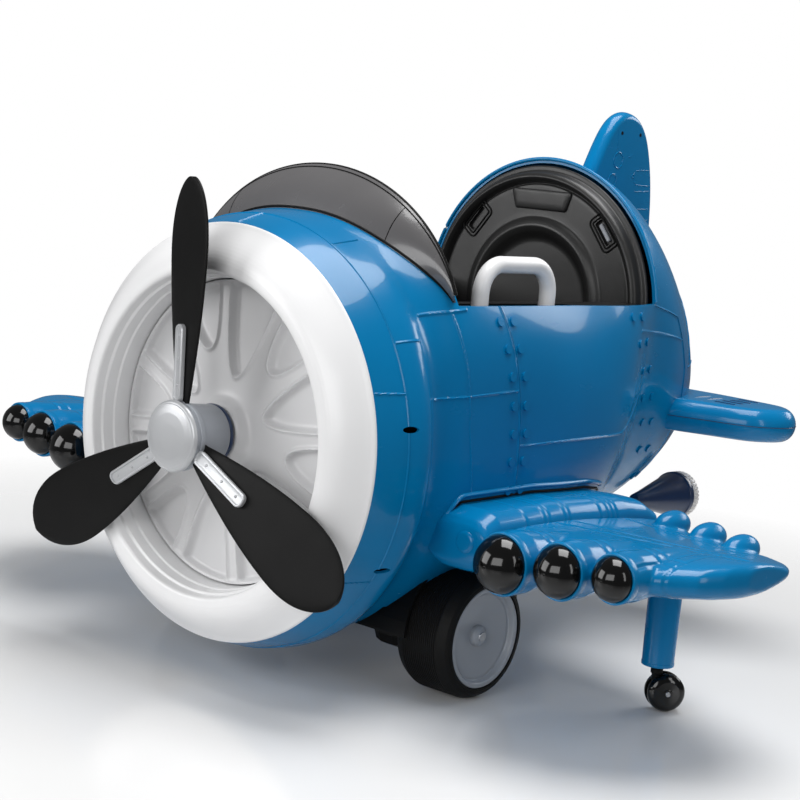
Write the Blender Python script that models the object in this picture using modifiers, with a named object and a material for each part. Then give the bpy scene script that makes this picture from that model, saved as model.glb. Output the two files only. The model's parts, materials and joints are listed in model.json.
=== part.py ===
"""A child's ride-on toy airplane with a round cowl, twin drive wheels and wing casters.

The nose points to -Y, +X is the airplane's left-hand (port) side and +Z is up.
Nearly every size is a multiple of R, the radius of the seam between the white
nose ring and the blue fuselage.  The origin lies on the ground, at the centre
of the whole airplane's bounding box.
"""
import math

import bmesh
import bpy
import numpy as np
from mathutils import Matrix, Vector

# ---------------------------------------------------------------- driving dimensions
R = 0.240                 # radius of the nose ring's rear seam, metres
GAP = 0.0006              # clearance between neighbouring pieces, metres
SKIN = 0.004              # wall thickness of the blow-moulded shells, metres
SIDES = 36                # points round a fuselage section
STATION_SPACING = 0.30    # longest step between fuselage sections, in multiples of R

# ---------------------------------------------------------------- places, in multiples of R
HUB_FRONT = -0.330        # tip of the hub cap, ahead of the nose seam
TAIL_END = 3.670          # rearmost point, the end of the tail
DATUM = 0.020             # heights below are counted from this level above the ground
PROP_Z = 1.167            # height of the propeller axis
SEAM_REAR = 2.400         # front face of the hood behind the seat
SILL_Z = 1.880            # top edge of the cockpit side
COCKPIT_FRONT = 0.620     # where the deck ends and the cockpit begins
WHEEL_Y = 0.882           # main axle
WHEEL_R = 0.310
WHEEL_Z = WHEEL_R - DATUM
WHEEL_IN = 0.700          # inner and outer faces of a main wheel
WHEEL_OUT = 1.030
STRUT_X = 1.600           # wing strut and its caster
STRUT_Y = 1.530
REAR_CASTER_Y = 2.300
STRUT_END = 0.205         # lower end of the wing struts
CASTER_R = 0.094
CASTER_TRAIL = 0.050
CASTER_TURN = math.radians(50.0)    # rest direction of the left wing caster
LEVER_X = 0.785
LEVER_Y = 1.158
LEVER_PIVOT_Z = 1.420
LEVER_REACH = 0.2675      # half the distance between a lever's two uprights
LEVER_TUBE = 0.042
BLADE_ANGLES = (92.7, 212.7, 332.7)  # degrees from +X towards +Z
BLADE_PLANE = -0.245      # the blades' middle plane, ahead of the nose seam
BLADE_PITCH = math.radians(-20.0)
SEAT_Z = 1.120            # top of the seat pan
FLOOR_Z = 0.665           # top of the footwell floor
SEAT_BACK_Y = 2.388       # centre of the round seat back
SEAT_BACK_Z = 1.812
SEAT_BACK_R = 0.758
BELT_SLOT_X = 0.446       # belt slots, either side of the head pad
BELT_SLOT_Z = 2.232
BELT_SLOT_LEAN = math.radians(38.0)
PAD_TOP = 0.630           # outer radius of the head pad

NOSE_Y = -(HUB_FRONT + TAIL_END) / 2    # the nose seam, so that the origin is central

# Seams between the fuselage's three shells, seen from the side: distance behind the nose, height.
FRONT_SEAM = ((0.915, 1.900), (0.985, 1.650), (1.030, 1.350), (1.045, 1.100), (1.060, 0.950))
REAR_SEAM = ((SEAM_REAR, 1.872), (2.590, 1.835), (2.740, 1.800), (2.840, 1.660), (2.930, 1.500),
             (2.960, 1.300))

# Fuselage sections, in multiples of R: distance behind the nose seam, half width,
# height of the widest point, top, bottom, squareness of the upper and lower halves.
HULL = (
    (0.00, 1.000, 1.167, 2.167, 0.167, 2.00, 2.00),
    (0.16, 1.040, 1.167, 2.214, 0.124, 2.02, 2.00),
    (0.32, 1.045, 1.167, 2.238, 0.112, 2.10, 2.00),
    (0.38, 0.990, 1.167, 2.245, 0.140, 2.25, 2.05),
    (0.62, 0.985, 1.180, 2.235, 0.170, 3.00, 2.15),
    (1.01, 0.990, 1.200, 2.225, 0.215, 3.00, 2.30),
    (1.60, 0.985, 1.260, 2.260, 0.290, 2.60, 2.30),
    (2.05, 0.930, 1.480, 2.420, 0.370, 2.30, 2.25),
    (2.40, 0.800, 1.780, 2.600, 0.470, 2.00, 2.20),
    (2.80, 0.735, 1.560, 2.450, 0.610, 2.00, 2.15),
    (3.15, 0.600, 1.420, 2.130, 0.760, 2.00, 2.10),
    (3.40, 0.440, 1.350, 1.850, 0.900, 2.00, 2.00),
    (3.56, 0.290, 1.310, 1.640, 1.020, 2.00, 2.00),
    (3.65, 0.140, 1.290, 1.460, 1.140, 2.00, 2.00),
    (3.67, 0.060, 1.290, 1.360, 1.220, 2.00, 2.00),
)

# Colours as (red, green, blue), roughness, metallic.
FINISHES = {
    "blue": ((0.010, 0.190, 0.480), 0.22, 0.0),
    "dark_blue": ((0.010, 0.080, 0.180), 0.30, 0.0),
    "white": ((0.760, 0.760, 0.770), 0.40, 0.0),
    "light_grey": ((0.520, 0.520, 0.530), 0.45, 0.0),
    "silver": ((0.560, 0.570, 0.590), 0.35, 0.6),
    "black_gloss": ((0.010, 0.010, 0.012), 0.12, 0.0),
    "black_matt": ((0.016, 0.016, 0.017), 0.55, 0.0),
    "smoke": ((0.060, 0.058, 0.060), 0.35, 0.0),
    "wheel_grey": ((0.230, 0.245, 0.265), 0.40, 0.0),
    "tyre": ((0.012, 0.012, 0.013), 0.70, 0.0),
    "steel": ((0.420, 0.430, 0.450), 0.40, 0.9),
    "lens": ((0.700, 0.680, 0.660), 0.30, 0.0),
}


# ---------------------------------------------------------------- scene helpers
def clear_scene():
    for obj in list(bpy.data.objects):
        bpy.data.objects.remove(obj, do_unlink=True)


def new_collection(name):
    collection = bpy.data.collections.new(name)
    bpy.context.scene.collection.children.link(collection)
    return collection


def make_material(name):
    colour, roughness, metallic = FINISHES[name]
    material = bpy.data.materials.new(name)
    material.use_nodes = True
    shader = material.node_tree.nodes["Principled BSDF"]
    shader.inputs["Base Color"].default_value = (*colour, 1.0)
    shader.inputs["Roughness"].default_value = roughness
    shader.inputs["Metallic"].default_value = metallic
    return material


clear_scene()
AIRPLANE = new_collection("toy_airplane")
CUTTERS = new_collection("cutters")
MATERIALS = {name: make_material(name) for name in FINISHES}


def place(x, y, z):
    """A point given in multiples of R, y counted from the nose seam."""
    return Vector((R * x, R * (NOSE_Y + y), R * (DATUM + z)))


def add(name, data, finish=None):
    """Link new geometry: to the airplane with its finish, or to the cutters without one."""
    obj = bpy.data.objects.new(name, data)
    if finish:
        AIRPLANE.objects.link(obj)
        data.materials.clear()
        data.materials.append(MATERIALS[finish])
    else:
        CUTTERS.objects.link(obj)
        obj.hide_render = True
        obj.display_type = "WIRE"
    return obj


def mesh_from(name, bm):
    data = bpy.data.meshes.new(name)
    bm.to_mesh(data)
    bm.free()
    return data


def bake(obj):
    """Replace an object's mesh or curve by what its modifiers make of it."""
    bpy.context.view_layer.update()
    graph = bpy.context.evaluated_depsgraph_get()
    data = bpy.data.meshes.new_from_object(obj.evaluated_get(graph))
    if obj.type == "MESH":
        obj.modifiers.clear()
        obj.data = data
        return obj
    bm = bmesh.new()
    bm.from_mesh(data)
    bmesh.ops.remove_doubles(bm, verts=bm.verts, dist=1e-5)
    bmesh.ops.recalc_face_normals(bm, faces=bm.faces)
    bm.to_mesh(data)
    bm.free()
    solid = bpy.data.objects.new(obj.name + "_solid", data)
    solid.matrix_world = obj.matrix_world.copy()
    CUTTERS.objects.link(solid)
    solid.hide_render = True
    solid.display_type = "WIRE"
    bpy.data.objects.remove(obj, do_unlink=True)
    return solid


def as_part(obj, name, finish):
    """Turn a cutter-side solid into a named piece of the airplane."""
    CUTTERS.objects.unlink(obj)
    AIRPLANE.objects.link(obj)
    obj.name = name
    obj.hide_render = False
    obj.display_type = "TEXTURED"
    obj.data.materials.clear()
    obj.data.materials.append(MATERIALS[finish])
    return obj


def combine(obj, others, operation, solver="EXACT"):
    """Join or cut obj with the others by booleans, and keep the result as its mesh."""
    for other in others:
        step = obj.modifiers.new(operation.lower(), "BOOLEAN")
        step.operation = operation
        step.object = other
        step.solver = solver
    return bake(obj)


def cut(obj, *others):
    return combine(obj, others, "DIFFERENCE")


def join(obj, *others):
    return combine(obj, others, "UNION")


def bevel(obj, width, segments=2, angle=40.0):
    step = obj.modifiers.new("bevel", "BEVEL")
    step.width = width
    step.segments = segments
    step.limit_method = "ANGLE"
    step.angle_limit = math.radians(angle)
    return obj


def smooth(obj, angle=35.0):
    obj.data.shade_smooth()
    obj.data.set_sharp_from_angle(angle=math.radians(angle))
    return obj


def hang(name, point, *pieces):
    """An empty on a joint's axis, with the pieces that move about it as its children."""
    anchor = bpy.data.objects.new(name, None)
    AIRPLANE.objects.link(anchor)
    anchor.location = point
    bpy.context.view_layer.update()
    for piece in pieces:
        piece.parent = anchor
        piece.matrix_parent_inverse = anchor.matrix_world.inverted()


def mirrored(obj, name, finish):
    """The right-hand copy of a left-hand piece."""
    bm = bmesh.new()
    bm.from_mesh(obj.data)
    bmesh.ops.transform(bm, matrix=Matrix.Scale(-1, 4, (1, 0, 0)) @ obj.matrix_world, verts=bm.verts)
    bmesh.ops.reverse_faces(bm, faces=bm.faces)
    return smooth(add(name, mesh_from(name, bm), finish))


# ---------------------------------------------------------------- shape helpers
def box(name, low, high, finish=None, round_edge=0.0):
    """A box between two corners given in multiples of R, with optional rounded edges."""
    bm = bmesh.new()
    bmesh.ops.create_cube(bm, size=1.0)
    size = (Vector(high) - Vector(low)) * R
    middle = (place(*low) + place(*high)) / 2
    bmesh.ops.scale(bm, vec=size, verts=bm.verts)
    obj = add(name, mesh_from(name, bm), finish)
    obj.location = middle
    if round_edge:
        bevel(obj, round_edge)
    bpy.context.view_layer.update()
    return obj


# Stands an outline drawn as (distance behind the nose, height) in the airplane's middle plane.
SIDE_VIEW = Matrix(((0, 0, 1, 0), (1, 0, 0, 0), (0, 1, 0, 0), (0, 0, 0, 1)))
AXIS_TURNS = {
    "+X": (0, math.pi / 2, 0), "-X": (0, -math.pi / 2, 0),
    "-Y": (math.pi / 2, 0, 0), "+Y": (-math.pi / 2, 0, 0), "+Z": (0, 0, 0),
}


def turned(name, profile, centre, axis, finish=None, steps=32):
    """A turned solid: profile points (radius, height along the axis) in multiples of R.

    A profile that starts and ends on the axis makes a closed solid; any other is
    taken as a closed loop round the section of a ring.
    """
    bm = bmesh.new()
    verts = [bm.verts.new((R * radius, 0.0, R * height)) for radius, height in profile]
    for a, b in zip(verts, verts[1:]):
        bm.edges.new((a, b))
    if profile[0][0] > 0:
        bm.edges.new((verts[-1], verts[0]))
    obj = add(name, mesh_from(name, bm), finish)
    obj.location = place(*centre)
    obj.rotation_euler = AXIS_TURNS[axis]
    step = obj.modifiers.new("turn", "SCREW")
    step.steps = step.render_steps = steps
    step.use_merge_vertices = True
    step.merge_threshold = 1e-5
    step.use_smooth_shade = True
    bpy.context.view_layer.update()
    return bake(obj)


def rod(name, radius, start, length, axis, finish=None, steps=24):
    """A plain cylinder from a start point along an axis, in multiples of R."""
    profile = ((0.0, length), (radius, length), (radius, 0.0), (0.0, 0.0))
    return turned(name, profile, start, axis, finish, steps)


def loft(name, rings, finish=None, cap_start=True, cap_end=True):
    """Quads between successive rings of points, with optional flat ends."""
    bm = bmesh.new()
    rows = [[bm.verts.new(point) for point in ring] for ring in rings]
    count = len(rows[0])
    for row, following in zip(rows, rows[1:]):
        for i in range(count):
            j = (i + 1) % count
            bm.faces.new((row[i], row[j], following[j], following[i]))
    if cap_start:
        bm.faces.new(rows[0])
    if cap_end:
        bm.faces.new(rows[-1])
    bmesh.ops.recalc_face_normals(bm, faces=bm.faces)
    return add(name, mesh_from(name, bm), finish)


def sheet(name, rows, finish=None):
    """An open surface through rows of points."""
    bm = bmesh.new()
    grid = [[bm.verts.new(point) for point in row] for row in rows]
    for row, following in zip(grid, grid[1:]):
        for a, b, c, d in zip(row, row[1:], following[1:], following):
            bm.faces.new((a, b, c, d))
    return add(name, mesh_from(name, bm), finish)


def thicken(obj, thickness, offset=-1.0):
    """Give an open surface a wall; offset -1 grows inward, 1 outward."""
    step = obj.modifiers.new("wall", "SOLIDIFY")
    step.thickness = thickness
    step.offset = offset
    step.use_even_offset = True
    return bake(obj)


def plate(name, outline, thickness, matrix, round_edge=0.0, resolution=6):
    """A flat plate from a closed smooth or straight outline, standing in the matrix's XY plane."""
    area = sum(a[0] * b[1] - b[0] * a[1] for a, b in zip(outline, [*outline[1:], outline[0]]))
    if area > 0:
        outline = outline[::-1]
    curve = bpy.data.curves.new(name, "CURVE")
    curve.dimensions = "2D"
    curve.fill_mode = "BOTH"
    spline = curve.splines.new("POLY")
    spline.points.add(len(outline) - 1)
    for point, (u, v) in zip(spline.points, outline):
        point.co = (R * u, R * v, 0.0, 1.0)
    spline.use_cyclic_u = True
    curve.extrude = thickness / 2 - round_edge
    curve.bevel_depth = round_edge
    curve.bevel_resolution = resolution if round_edge else 0
    curve.offset = -round_edge
    obj = bpy.data.objects.new(name, curve)
    CUTTERS.objects.link(obj)
    obj.matrix_world = matrix
    return bake(obj)


def rounded(points, radius, steps=4):
    """The outline with each corner replaced by a short arc-like fillet."""
    count = len(points)
    result = []
    for i, point in enumerate(points):
        here = Vector(point)
        before = Vector(points[i - 1]) - here
        after = Vector(points[(i + 1) % count]) - here
        reach = min(radius, before.length / 2, after.length / 2)
        start = here + before.normalized() * reach
        end = here + after.normalized() * reach
        for k in range(steps + 1):
            t = k / steps
            result.append(tuple((1 - t) ** 2 * start + 2 * t * (1 - t) * here + t * t * end))
    return result


# ---------------------------------------------------------------- the hull's surface
def hull_values(y):
    """Half width, widest height, top, bottom and the two squareness values at one station."""
    table = np.array(HULL)
    stations = table[:, 0]
    i = int(np.clip(np.searchsorted(stations, y) - 1, 0, len(stations) - 2))
    slopes = np.gradient(table[:, 1:], stations, axis=0)
    span = stations[i + 1] - stations[i]
    t = (y - stations[i]) / span
    a, b = table[i, 1:], table[i + 1, 1:]
    ma, mb = slopes[i] * span, slopes[i + 1] * span
    return ((2 * t**3 - 3 * t**2 + 1) * a + (t**3 - 2 * t**2 + t) * ma
            + (3 * t**2 - 2 * t**3) * b + (t**3 - t**2) * mb)


def hull_ring(y, grow=0.0):
    """One closed section of the hull, grown outward by a distance in metres."""
    half, widest, top, bottom, upper, lower = hull_values(y)
    extra = grow / R
    ring = []
    for k in range(SIDES):
        angle = 2 * math.pi * (k + 0.5) / SIDES
        c, s = math.cos(angle), math.sin(angle)
        rise = top - widest if s > 0 else widest - bottom
        power = 2.0 / (upper if s > 0 else lower)
        x = math.copysign(abs(c) ** power, c) * (half + extra)
        z = widest + math.copysign(abs(s) ** power, s) * (rise + extra)
        ring.append(place(x, y, z))
    return ring


def hull_half_width(y, z):
    """Half width of the hull at one station and height, in multiples of R."""
    half, widest, top, bottom, upper, lower = hull_values(y)
    rise, power = (top - widest, upper) if z > widest else (widest - bottom, lower)
    share = min(abs(z - widest) / rise, 1.0)
    return half * (1.0 - share**power) ** (1.0 / power)


def stations_between(start, end):
    """The table's stations from start to end, with more between where they are far apart."""
    table = [row[0] for row in HULL]
    grid = [table[0]]
    for a, b in zip(table, table[1:]):
        pieces = math.ceil((b - a) / STATION_SPACING)
        grid += [a + (b - a) * k / pieces for k in range(1, pieces + 1)]
    return [start, *(y for y in grid if start + 0.02 < y < end - 0.02), end]


def hull_shell(name, start, end, finish, closed_end=False):
    rings = [hull_ring(y) for y in stations_between(start, end)]
    shell = loft(name, rings, finish, cap_start=False, cap_end=closed_end)
    return thicken(shell, SKIN)


def hull_plug(name, start, end, grow=GAP):
    """The hull as one solid, slightly grown: what every fitted piece is trimmed by."""
    rings = [hull_ring(y, grow) for y in stations_between(start, end)]
    return loft(name, rings)


# ---------------------------------------------------------------- fuselage
def seam_cutter(name, seam, ahead):
    """Everything ahead of or behind a seam, with half the gap on its own side."""
    edge = (1 if ahead else -1) * GAP / R / 2
    far = -1.0 if ahead else 5.0
    line = [(seam[0][0], 3.5), *seam, (seam[-1][0], -0.5)]
    outline = [(y + edge, z + edge) for y, z in line] + [(far, -0.5), (far, 3.5)]
    return plate(name, outline, R * 3.0, Matrix.Translation(place(0, 0, 0)) @ SIDE_VIEW)


def build_fuselage():
    front = hull_shell("front_fuselage", GAP / R, 1.305, "blue")
    main = hull_shell("main_fuselage", 0.815, 3.150, "blue")
    tail = hull_shell("tail_fuselage", 2.225, HULL[-1][0], "blue", closed_end=True)
    cut(front, seam_cutter("behind_front_seam", FRONT_SEAM, ahead=False))
    cut(main, seam_cutter("ahead_of_front_seam", FRONT_SEAM, ahead=True),
        seam_cutter("behind_rear_seam", REAR_SEAM, ahead=False))
    cut(tail, seam_cutter("ahead_of_rear_seam", REAR_SEAM, ahead=True))

    cockpit = box("cockpit_cutter", (-1.3, COCKPIT_FRONT, SILL_Z), (1.3, SEAM_REAR + 0.03, 3.0))
    wells = [
        box("well_cutter_left", (0.300, 0.540, -0.1), (1.3, 1.225, 0.40)),
        box("well_cutter_right", (-1.3, 0.540, -0.1), (-0.300, 1.225, 0.40)),
        rod("arch_cutter_left", 0.345, (0.400, WHEEL_Y, WHEEL_Z), 0.9, "+X"),
        rod("arch_cutter_right", 0.345, (-0.400, WHEEL_Y, WHEEL_Z), 0.9, "-X"),
    ]
    post_hole = rod("post_hole_cutter", 0.085, (0, REAR_CASTER_Y, 0.1), 0.6, "+Z")
    smooth(cut(front, cockpit, *wells))
    smooth(cut(main, cockpit, *wells, post_hole))
    smooth(tail)


def build_nose():
    """The white ring, the grey rosette behind it and the propeller's motor."""
    ring = ((0.768, 0.130), (0.786, 0.142), (0.850, 0.122), (0.935, 0.064), (1.000, -0.002),
            (0.980, -0.002), (0.895, 0.072), (0.790, 0.120), (0.752, -0.105), (0.735, -0.105))
    smooth(turned("nose_ring", ring, (0, 0, PROP_Z), "-Y", "white", 36))

    back = -0.125
    disc = ((0.050, back), (0.050, 0.028), (0.110, 0.024), (0.140, -0.030), (0.560, -0.050), (0.729, -0.075),
            (0.729, back))
    smooth(turned("rosette_disc", disc, (0, 0, PROP_Z), "-Y", "light_grey", 36))

    motor = ((0.0, 0.20), (0.030, 0.20), (0.030, 0.22), (0.160, 0.22), (0.160, -0.02), (0.085, -0.02),
             (0.085, -0.24), (0.0, -0.24))
    body = turned("prop_motor", motor, (0, 0.365, PROP_Z), "-Y", "steel", 24)
    bore = rod("motor_bore_cutter", 0.032, (0, 0.28, PROP_Z), 0.2, "-Y")
    smooth(cut(body, bore))


# ---------------------------------------------------------------- propeller
def blade_half_width(r):
    """Half the blade's width at a distance r from the axis."""
    root, tip = 0.150, 1.200
    t = (r - root) / (tip - root)
    swell = 0.058 + 0.130 * math.sin(math.pi * min(t, 1.0) ** 0.95 * 0.62)
    round_tip = math.sqrt(max(0.0, 1.0 - max(0.0, (t - 0.80) / 0.20) ** 2))
    return swell * round_tip


def build_propeller():
    hub = ((0.0, -HUB_FRONT - 0.035), (0.150, -HUB_FRONT - 0.035), (0.140, 0.065), (0.030, 0.065),
           (0.030, -0.240), (0.0, -0.240))
    axis = (0, 0, PROP_Z)
    body = turned("prop_hub", hub, axis, "-Y", "silver", 24)
    cap_back = -HUB_FRONT - 0.035 + GAP / R
    cap = ((0.0, -HUB_FRONT), (0.110, -HUB_FRONT - 0.004), (0.155, -HUB_FRONT - 0.014),
           (0.169, -HUB_FRONT - 0.026), (0.169, cap_back), (0.0, cap_back))
    smooth(turned("hub_cap", cap, axis, "-Y", "silver", 24))

    slots = []
    moving = [body, bpy.data.objects["hub_cap"]]
    for number, degrees in enumerate(BLADE_ANGLES, 1):
        turn = Matrix.Rotation(math.radians(90 - degrees), 4, "Y")
        pitch = Matrix.Rotation(BLADE_PITCH, 4, "Z")
        frame = Matrix.Translation(place(0, BLADE_PLANE, PROP_Z)) @ turn @ pitch
        radii = [0.120, 0.20, 0.30, 0.42, 0.54, 0.66, 0.78, 0.88, 0.97, 1.04, 1.10, 1.15, 1.185, 1.200]
        rings = []
        for r in radii:
            half = max(blade_half_width(max(r, 0.15)), 0.012)
            thick = 0.014 if r < 1.15 else 0.010
            corners = ((-half, 0), (-0.6 * half, -thick), (0.6 * half, -thick),
                       (half, 0), (0.6 * half, thick), (-0.6 * half, thick))
            rings.append([frame @ Vector((R * x, R * y, R * r)) for x, y in corners])
        moving.append(smooth(loft(f"blade_{number}", rings, "black_matt"), 50))
        socket = box(f"socket_cutter_{number}", (-0.5, -0.5, -0.5), (0.5, 0.5, 0.5))
        root = Matrix.Diagonal((0.150, 0.040, 0.10, 1.0)) @ Matrix.Translation((0, 0, R * 1.65))
        socket.matrix_world = frame @ root
        slots.append(socket)
        low, high = 0.152, 0.520
        outline = rounded(((-0.034, low), (0.034, low), (0.034, high), (-0.034, high)), 0.03, 3)
        stand = frame @ Matrix.Translation((0, -R * 0.0275, 0)) @ Matrix.Rotation(math.pi / 2, 4, "X")
        clamp = plate(f"clamp_outline_{number}", outline, R * 0.024, stand)
        moving.append(smooth(as_part(clamp, f"blade_clamp_{number}", "silver")))
    smooth(cut(body, *slots))
    hang("propeller_axis", place(*axis), *moving)


# ---------------------------------------------------------------- cockpit
def deck_point(x, y, lift):
    """A point on the hull's upper surface, lifted by a multiple of R."""
    half, widest, top, _, upper, _ = hull_values(y)
    share = min(abs(x) / half, 0.999)
    return place(x, y, widest + (top - widest) * (1 - share**upper) ** (1 / upper) + lift)


def build_windshield(plug):
    """A smoked arch: its foot follows the deck, its rim is half an ellipse in an upright plane."""
    rim_y, rim_z, rim_half, rim_rise, spread = 0.575, 1.650, 0.950, 0.820, math.radians(70.0)
    foot_half = 0.865
    rows = []
    for k in range(21):
        angle = -spread + 2 * spread * k / 20
        share = math.sin(angle) / math.sin(spread)
        foot = deck_point(foot_half * share, 0.400 + 0.205 * abs(share) ** 3, -0.025)
        rim = place(rim_half * math.sin(angle), rim_y, rim_z + rim_rise * math.cos(angle))
        rows.append([foot.lerp(rim, t) for t in (0.0, 0.5, 1.0)])
    shield = thicken(sheet("windshield", rows, "smoke"), 0.003)
    smooth(cut(shield, plug))


def flange_outline(inset):
    """Half outline of the cockpit lining at sill height, from front to rear."""
    front, rear = COCKPIT_FRONT + 0.045, SEAM_REAR - 0.030
    ys = np.linspace(front, rear, 12)
    return [(hull_half_width(y, SILL_Z) - inset, float(y)) for y in ys]


def build_tub():
    """The moulded lining: footwell, seat pan and the flange under the sill."""
    half = flange_outline(0.035)
    outline = [(x, y) for x, y in half] + [(-x, y) for x, y in reversed(half)]
    level = Matrix.Translation(place(0, 0, SILL_Z - 0.020))
    flange = plate("tub_outline", outline, R * 0.024, level)

    side = Matrix.Translation(place(0, 0, 0)) @ SIDE_VIEW
    top = SILL_Z - 0.020
    wall = 0.020
    profile = ((0.700, top), (0.700, FLOOR_Z - wall), (1.580, FLOOR_Z - wall), (1.640, SEAT_Z - wall),
               (2.350, SEAT_Z - wall), (2.350, top))
    inner = ((0.700 + wall, top + 0.2), (0.700 + wall, FLOOR_Z), (1.580 - wall, FLOOR_Z),
             (1.640 - wall, SEAT_Z), (2.350 - wall, SEAT_Z), (2.350 - wall, top + 0.2))
    basin = plate("basin_outline", rounded(profile, 0.06, 3), R * 1.30, side)
    hollow = plate("hollow_outline", rounded(inner, 0.06, 3), R * 1.26, side)
    slots = []
    for s in (-1, 1):
        low = (s * LEVER_X - 0.070, LEVER_Y - 0.50, 1.6)
        high = (s * LEVER_X + 0.070, LEVER_Y + 0.50, 2.1)
        slots.append(box(f"lever_slot_{s}", low, high))
    back = rod("seat_back_cutter", SEAT_BACK_R + 0.008, (0, SEAT_BACK_Y - 0.103, SEAT_BACK_Z), 0.3, "+Y", steps=36)
    tub = join(as_part(basin, "cockpit_tub", "black_matt"), flange)
    smooth(cut(tub, hollow, back, *slots))


def build_seat_back():
    outer = SEAT_BACK_R
    profile = ((0.0, 0.030), (0.365, 0.030), (0.420, 0.078), (0.475, 0.036), (0.645, 0.040), (0.688, 0.086),
               (0.722, 0.036), (outer, 0.012), (outer, -0.010), (0.0, -0.010))
    body = turned("seat_back", profile, (0, SEAT_BACK_Y, SEAT_BACK_Z), "-Y", "black_matt", 36)
    recess = []
    for s in (-1, 1):
        slot = box(f"belt_slot_{s}", (-0.030, -0.060, -0.080), (0.030, 0.015, 0.080))
        turn = Matrix.Rotation(-s * BELT_SLOT_LEAN, 4, "Y")
        slot.matrix_world = Matrix.Translation(place(s * BELT_SLOT_X, 2.360, BELT_SLOT_Z)) @ turn
        recess.append(slot)

    arc = [math.radians(a) for a in (109, 102.6, 96.3, 90, 83.7, 77.4, 71)]
    outline = [(PAD_TOP * math.cos(a), PAD_TOP * math.sin(a)) for a in arc]
    outline += [(0.165, 0.525), (0.0, 0.535), (-0.165, 0.525)]
    stand = Matrix.Translation(place(0, SEAT_BACK_Y - 0.055, SEAT_BACK_Z)) @ Matrix.Rotation(math.pi / 2, 4, "X")
    shape = rounded(outline, 0.03, 2)
    pad = plate("head_pad_outline", shape, R * 0.030, stand)
    smooth(as_part(pad, "head_pad", "black_matt"))
    middle = (PAD_TOP + 0.530) / 2
    wider = [(x * 1.03, middle + (z - middle) * 1.06) for x, z in shape]
    forward = Matrix.Translation((0, -R * 0.033, 0)) @ stand
    recess.append(plate("head_pad_cutter", wider, R * 0.102, forward))
    smooth(cut(body, *recess))


def build_dash():
    """The panel that closes the cockpit's front, with the power button in it."""
    y = COCKPIT_FRONT + 0.022
    outline = []
    for k in range(13):
        angle = math.radians(18 + 144 * k / 12)
        half, widest, top, _, upper, _ = hull_values(y)
        c, s = math.cos(angle), math.sin(angle)
        power = 2.0 / upper
        across = math.copysign(abs(c) ** power, c) * (half - 0.030)
        outline.append((across, widest + s**power * (top - widest - 0.030)))
    outline += [(-0.80, 1.40), (0.80, 1.40)]
    outline = [(x, min(z, 2.19)) for x, z in outline]
    stand = Matrix.Translation(place(0, y, 0)) @ Matrix.Rotation(math.pi / 2, 4, "X")
    panel = as_part(plate("dash_outline", outline, R * 0.030, stand), "dash_panel", "black_matt")
    hole = rod("button_hole_cutter", 0.050, (0.0, y - 0.1, 1.72), 0.3, "+Y")
    smooth(cut(panel, hole))
    button = ((0.0, 0.050), (0.040, 0.050), (0.046, 0.044), (0.046, -0.010), (0.0, -0.010))
    smooth(turned("power_button", button, (0.0, y, 1.72), "+Y", "silver", 20))


def build_lever(side):
    """A D-shaped drive lever on a cross shaft below the armrest."""
    reach = LEVER_REACH
    low, top, corner = LEVER_PIVOT_Z, 2.070, 0.13
    curve = bpy.data.curves.new("lever_path", "CURVE")
    curve.dimensions = "3D"
    curve.bevel_depth = R * LEVER_TUBE
    curve.bevel_resolution = 2
    curve.use_fill_caps = True
    corners = ((-reach, low), (-reach, top), (reach, top), (reach, low))
    path = [(-reach - 0.01, low), *rounded(corners, corner, 3)[4:-4], (reach + 0.01, low)]
    spline = curve.splines.new("POLY")
    spline.points.add(len(path) - 1)
    for point, (dy, z) in zip(spline.points, path):
        point.co = (*place(side * LEVER_X, LEVER_Y + dy, z), 1.0)
    loop = bpy.data.objects.new("lever_loop", curve)
    CUTTERS.objects.link(loop)
    solid = bake(loop)
    name = "drive_lever_left" if side > 0 else "drive_lever_right"
    bar = box(f"lever_bar_{name}", (side * LEVER_X - 0.040, LEVER_Y - reach, low - 0.040),
              (side * LEVER_X + 0.040, LEVER_Y + reach, low + 0.040))
    pin = rod(f"lever_pin_{name}", 0.035, (side * 0.675, LEVER_Y, low), 0.20, "+X" if side > 0 else "-X")
    lever = smooth(as_part(join(solid, bar, pin), name, "white"))
    hang(f"{name}_pivot", place(side * LEVER_X, LEVER_Y, low), lever)


# ---------------------------------------------------------------- tail
EXHAUST = (0.460, 3.160, 0.690)     # middle of the left-hand exhaust cone


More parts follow.
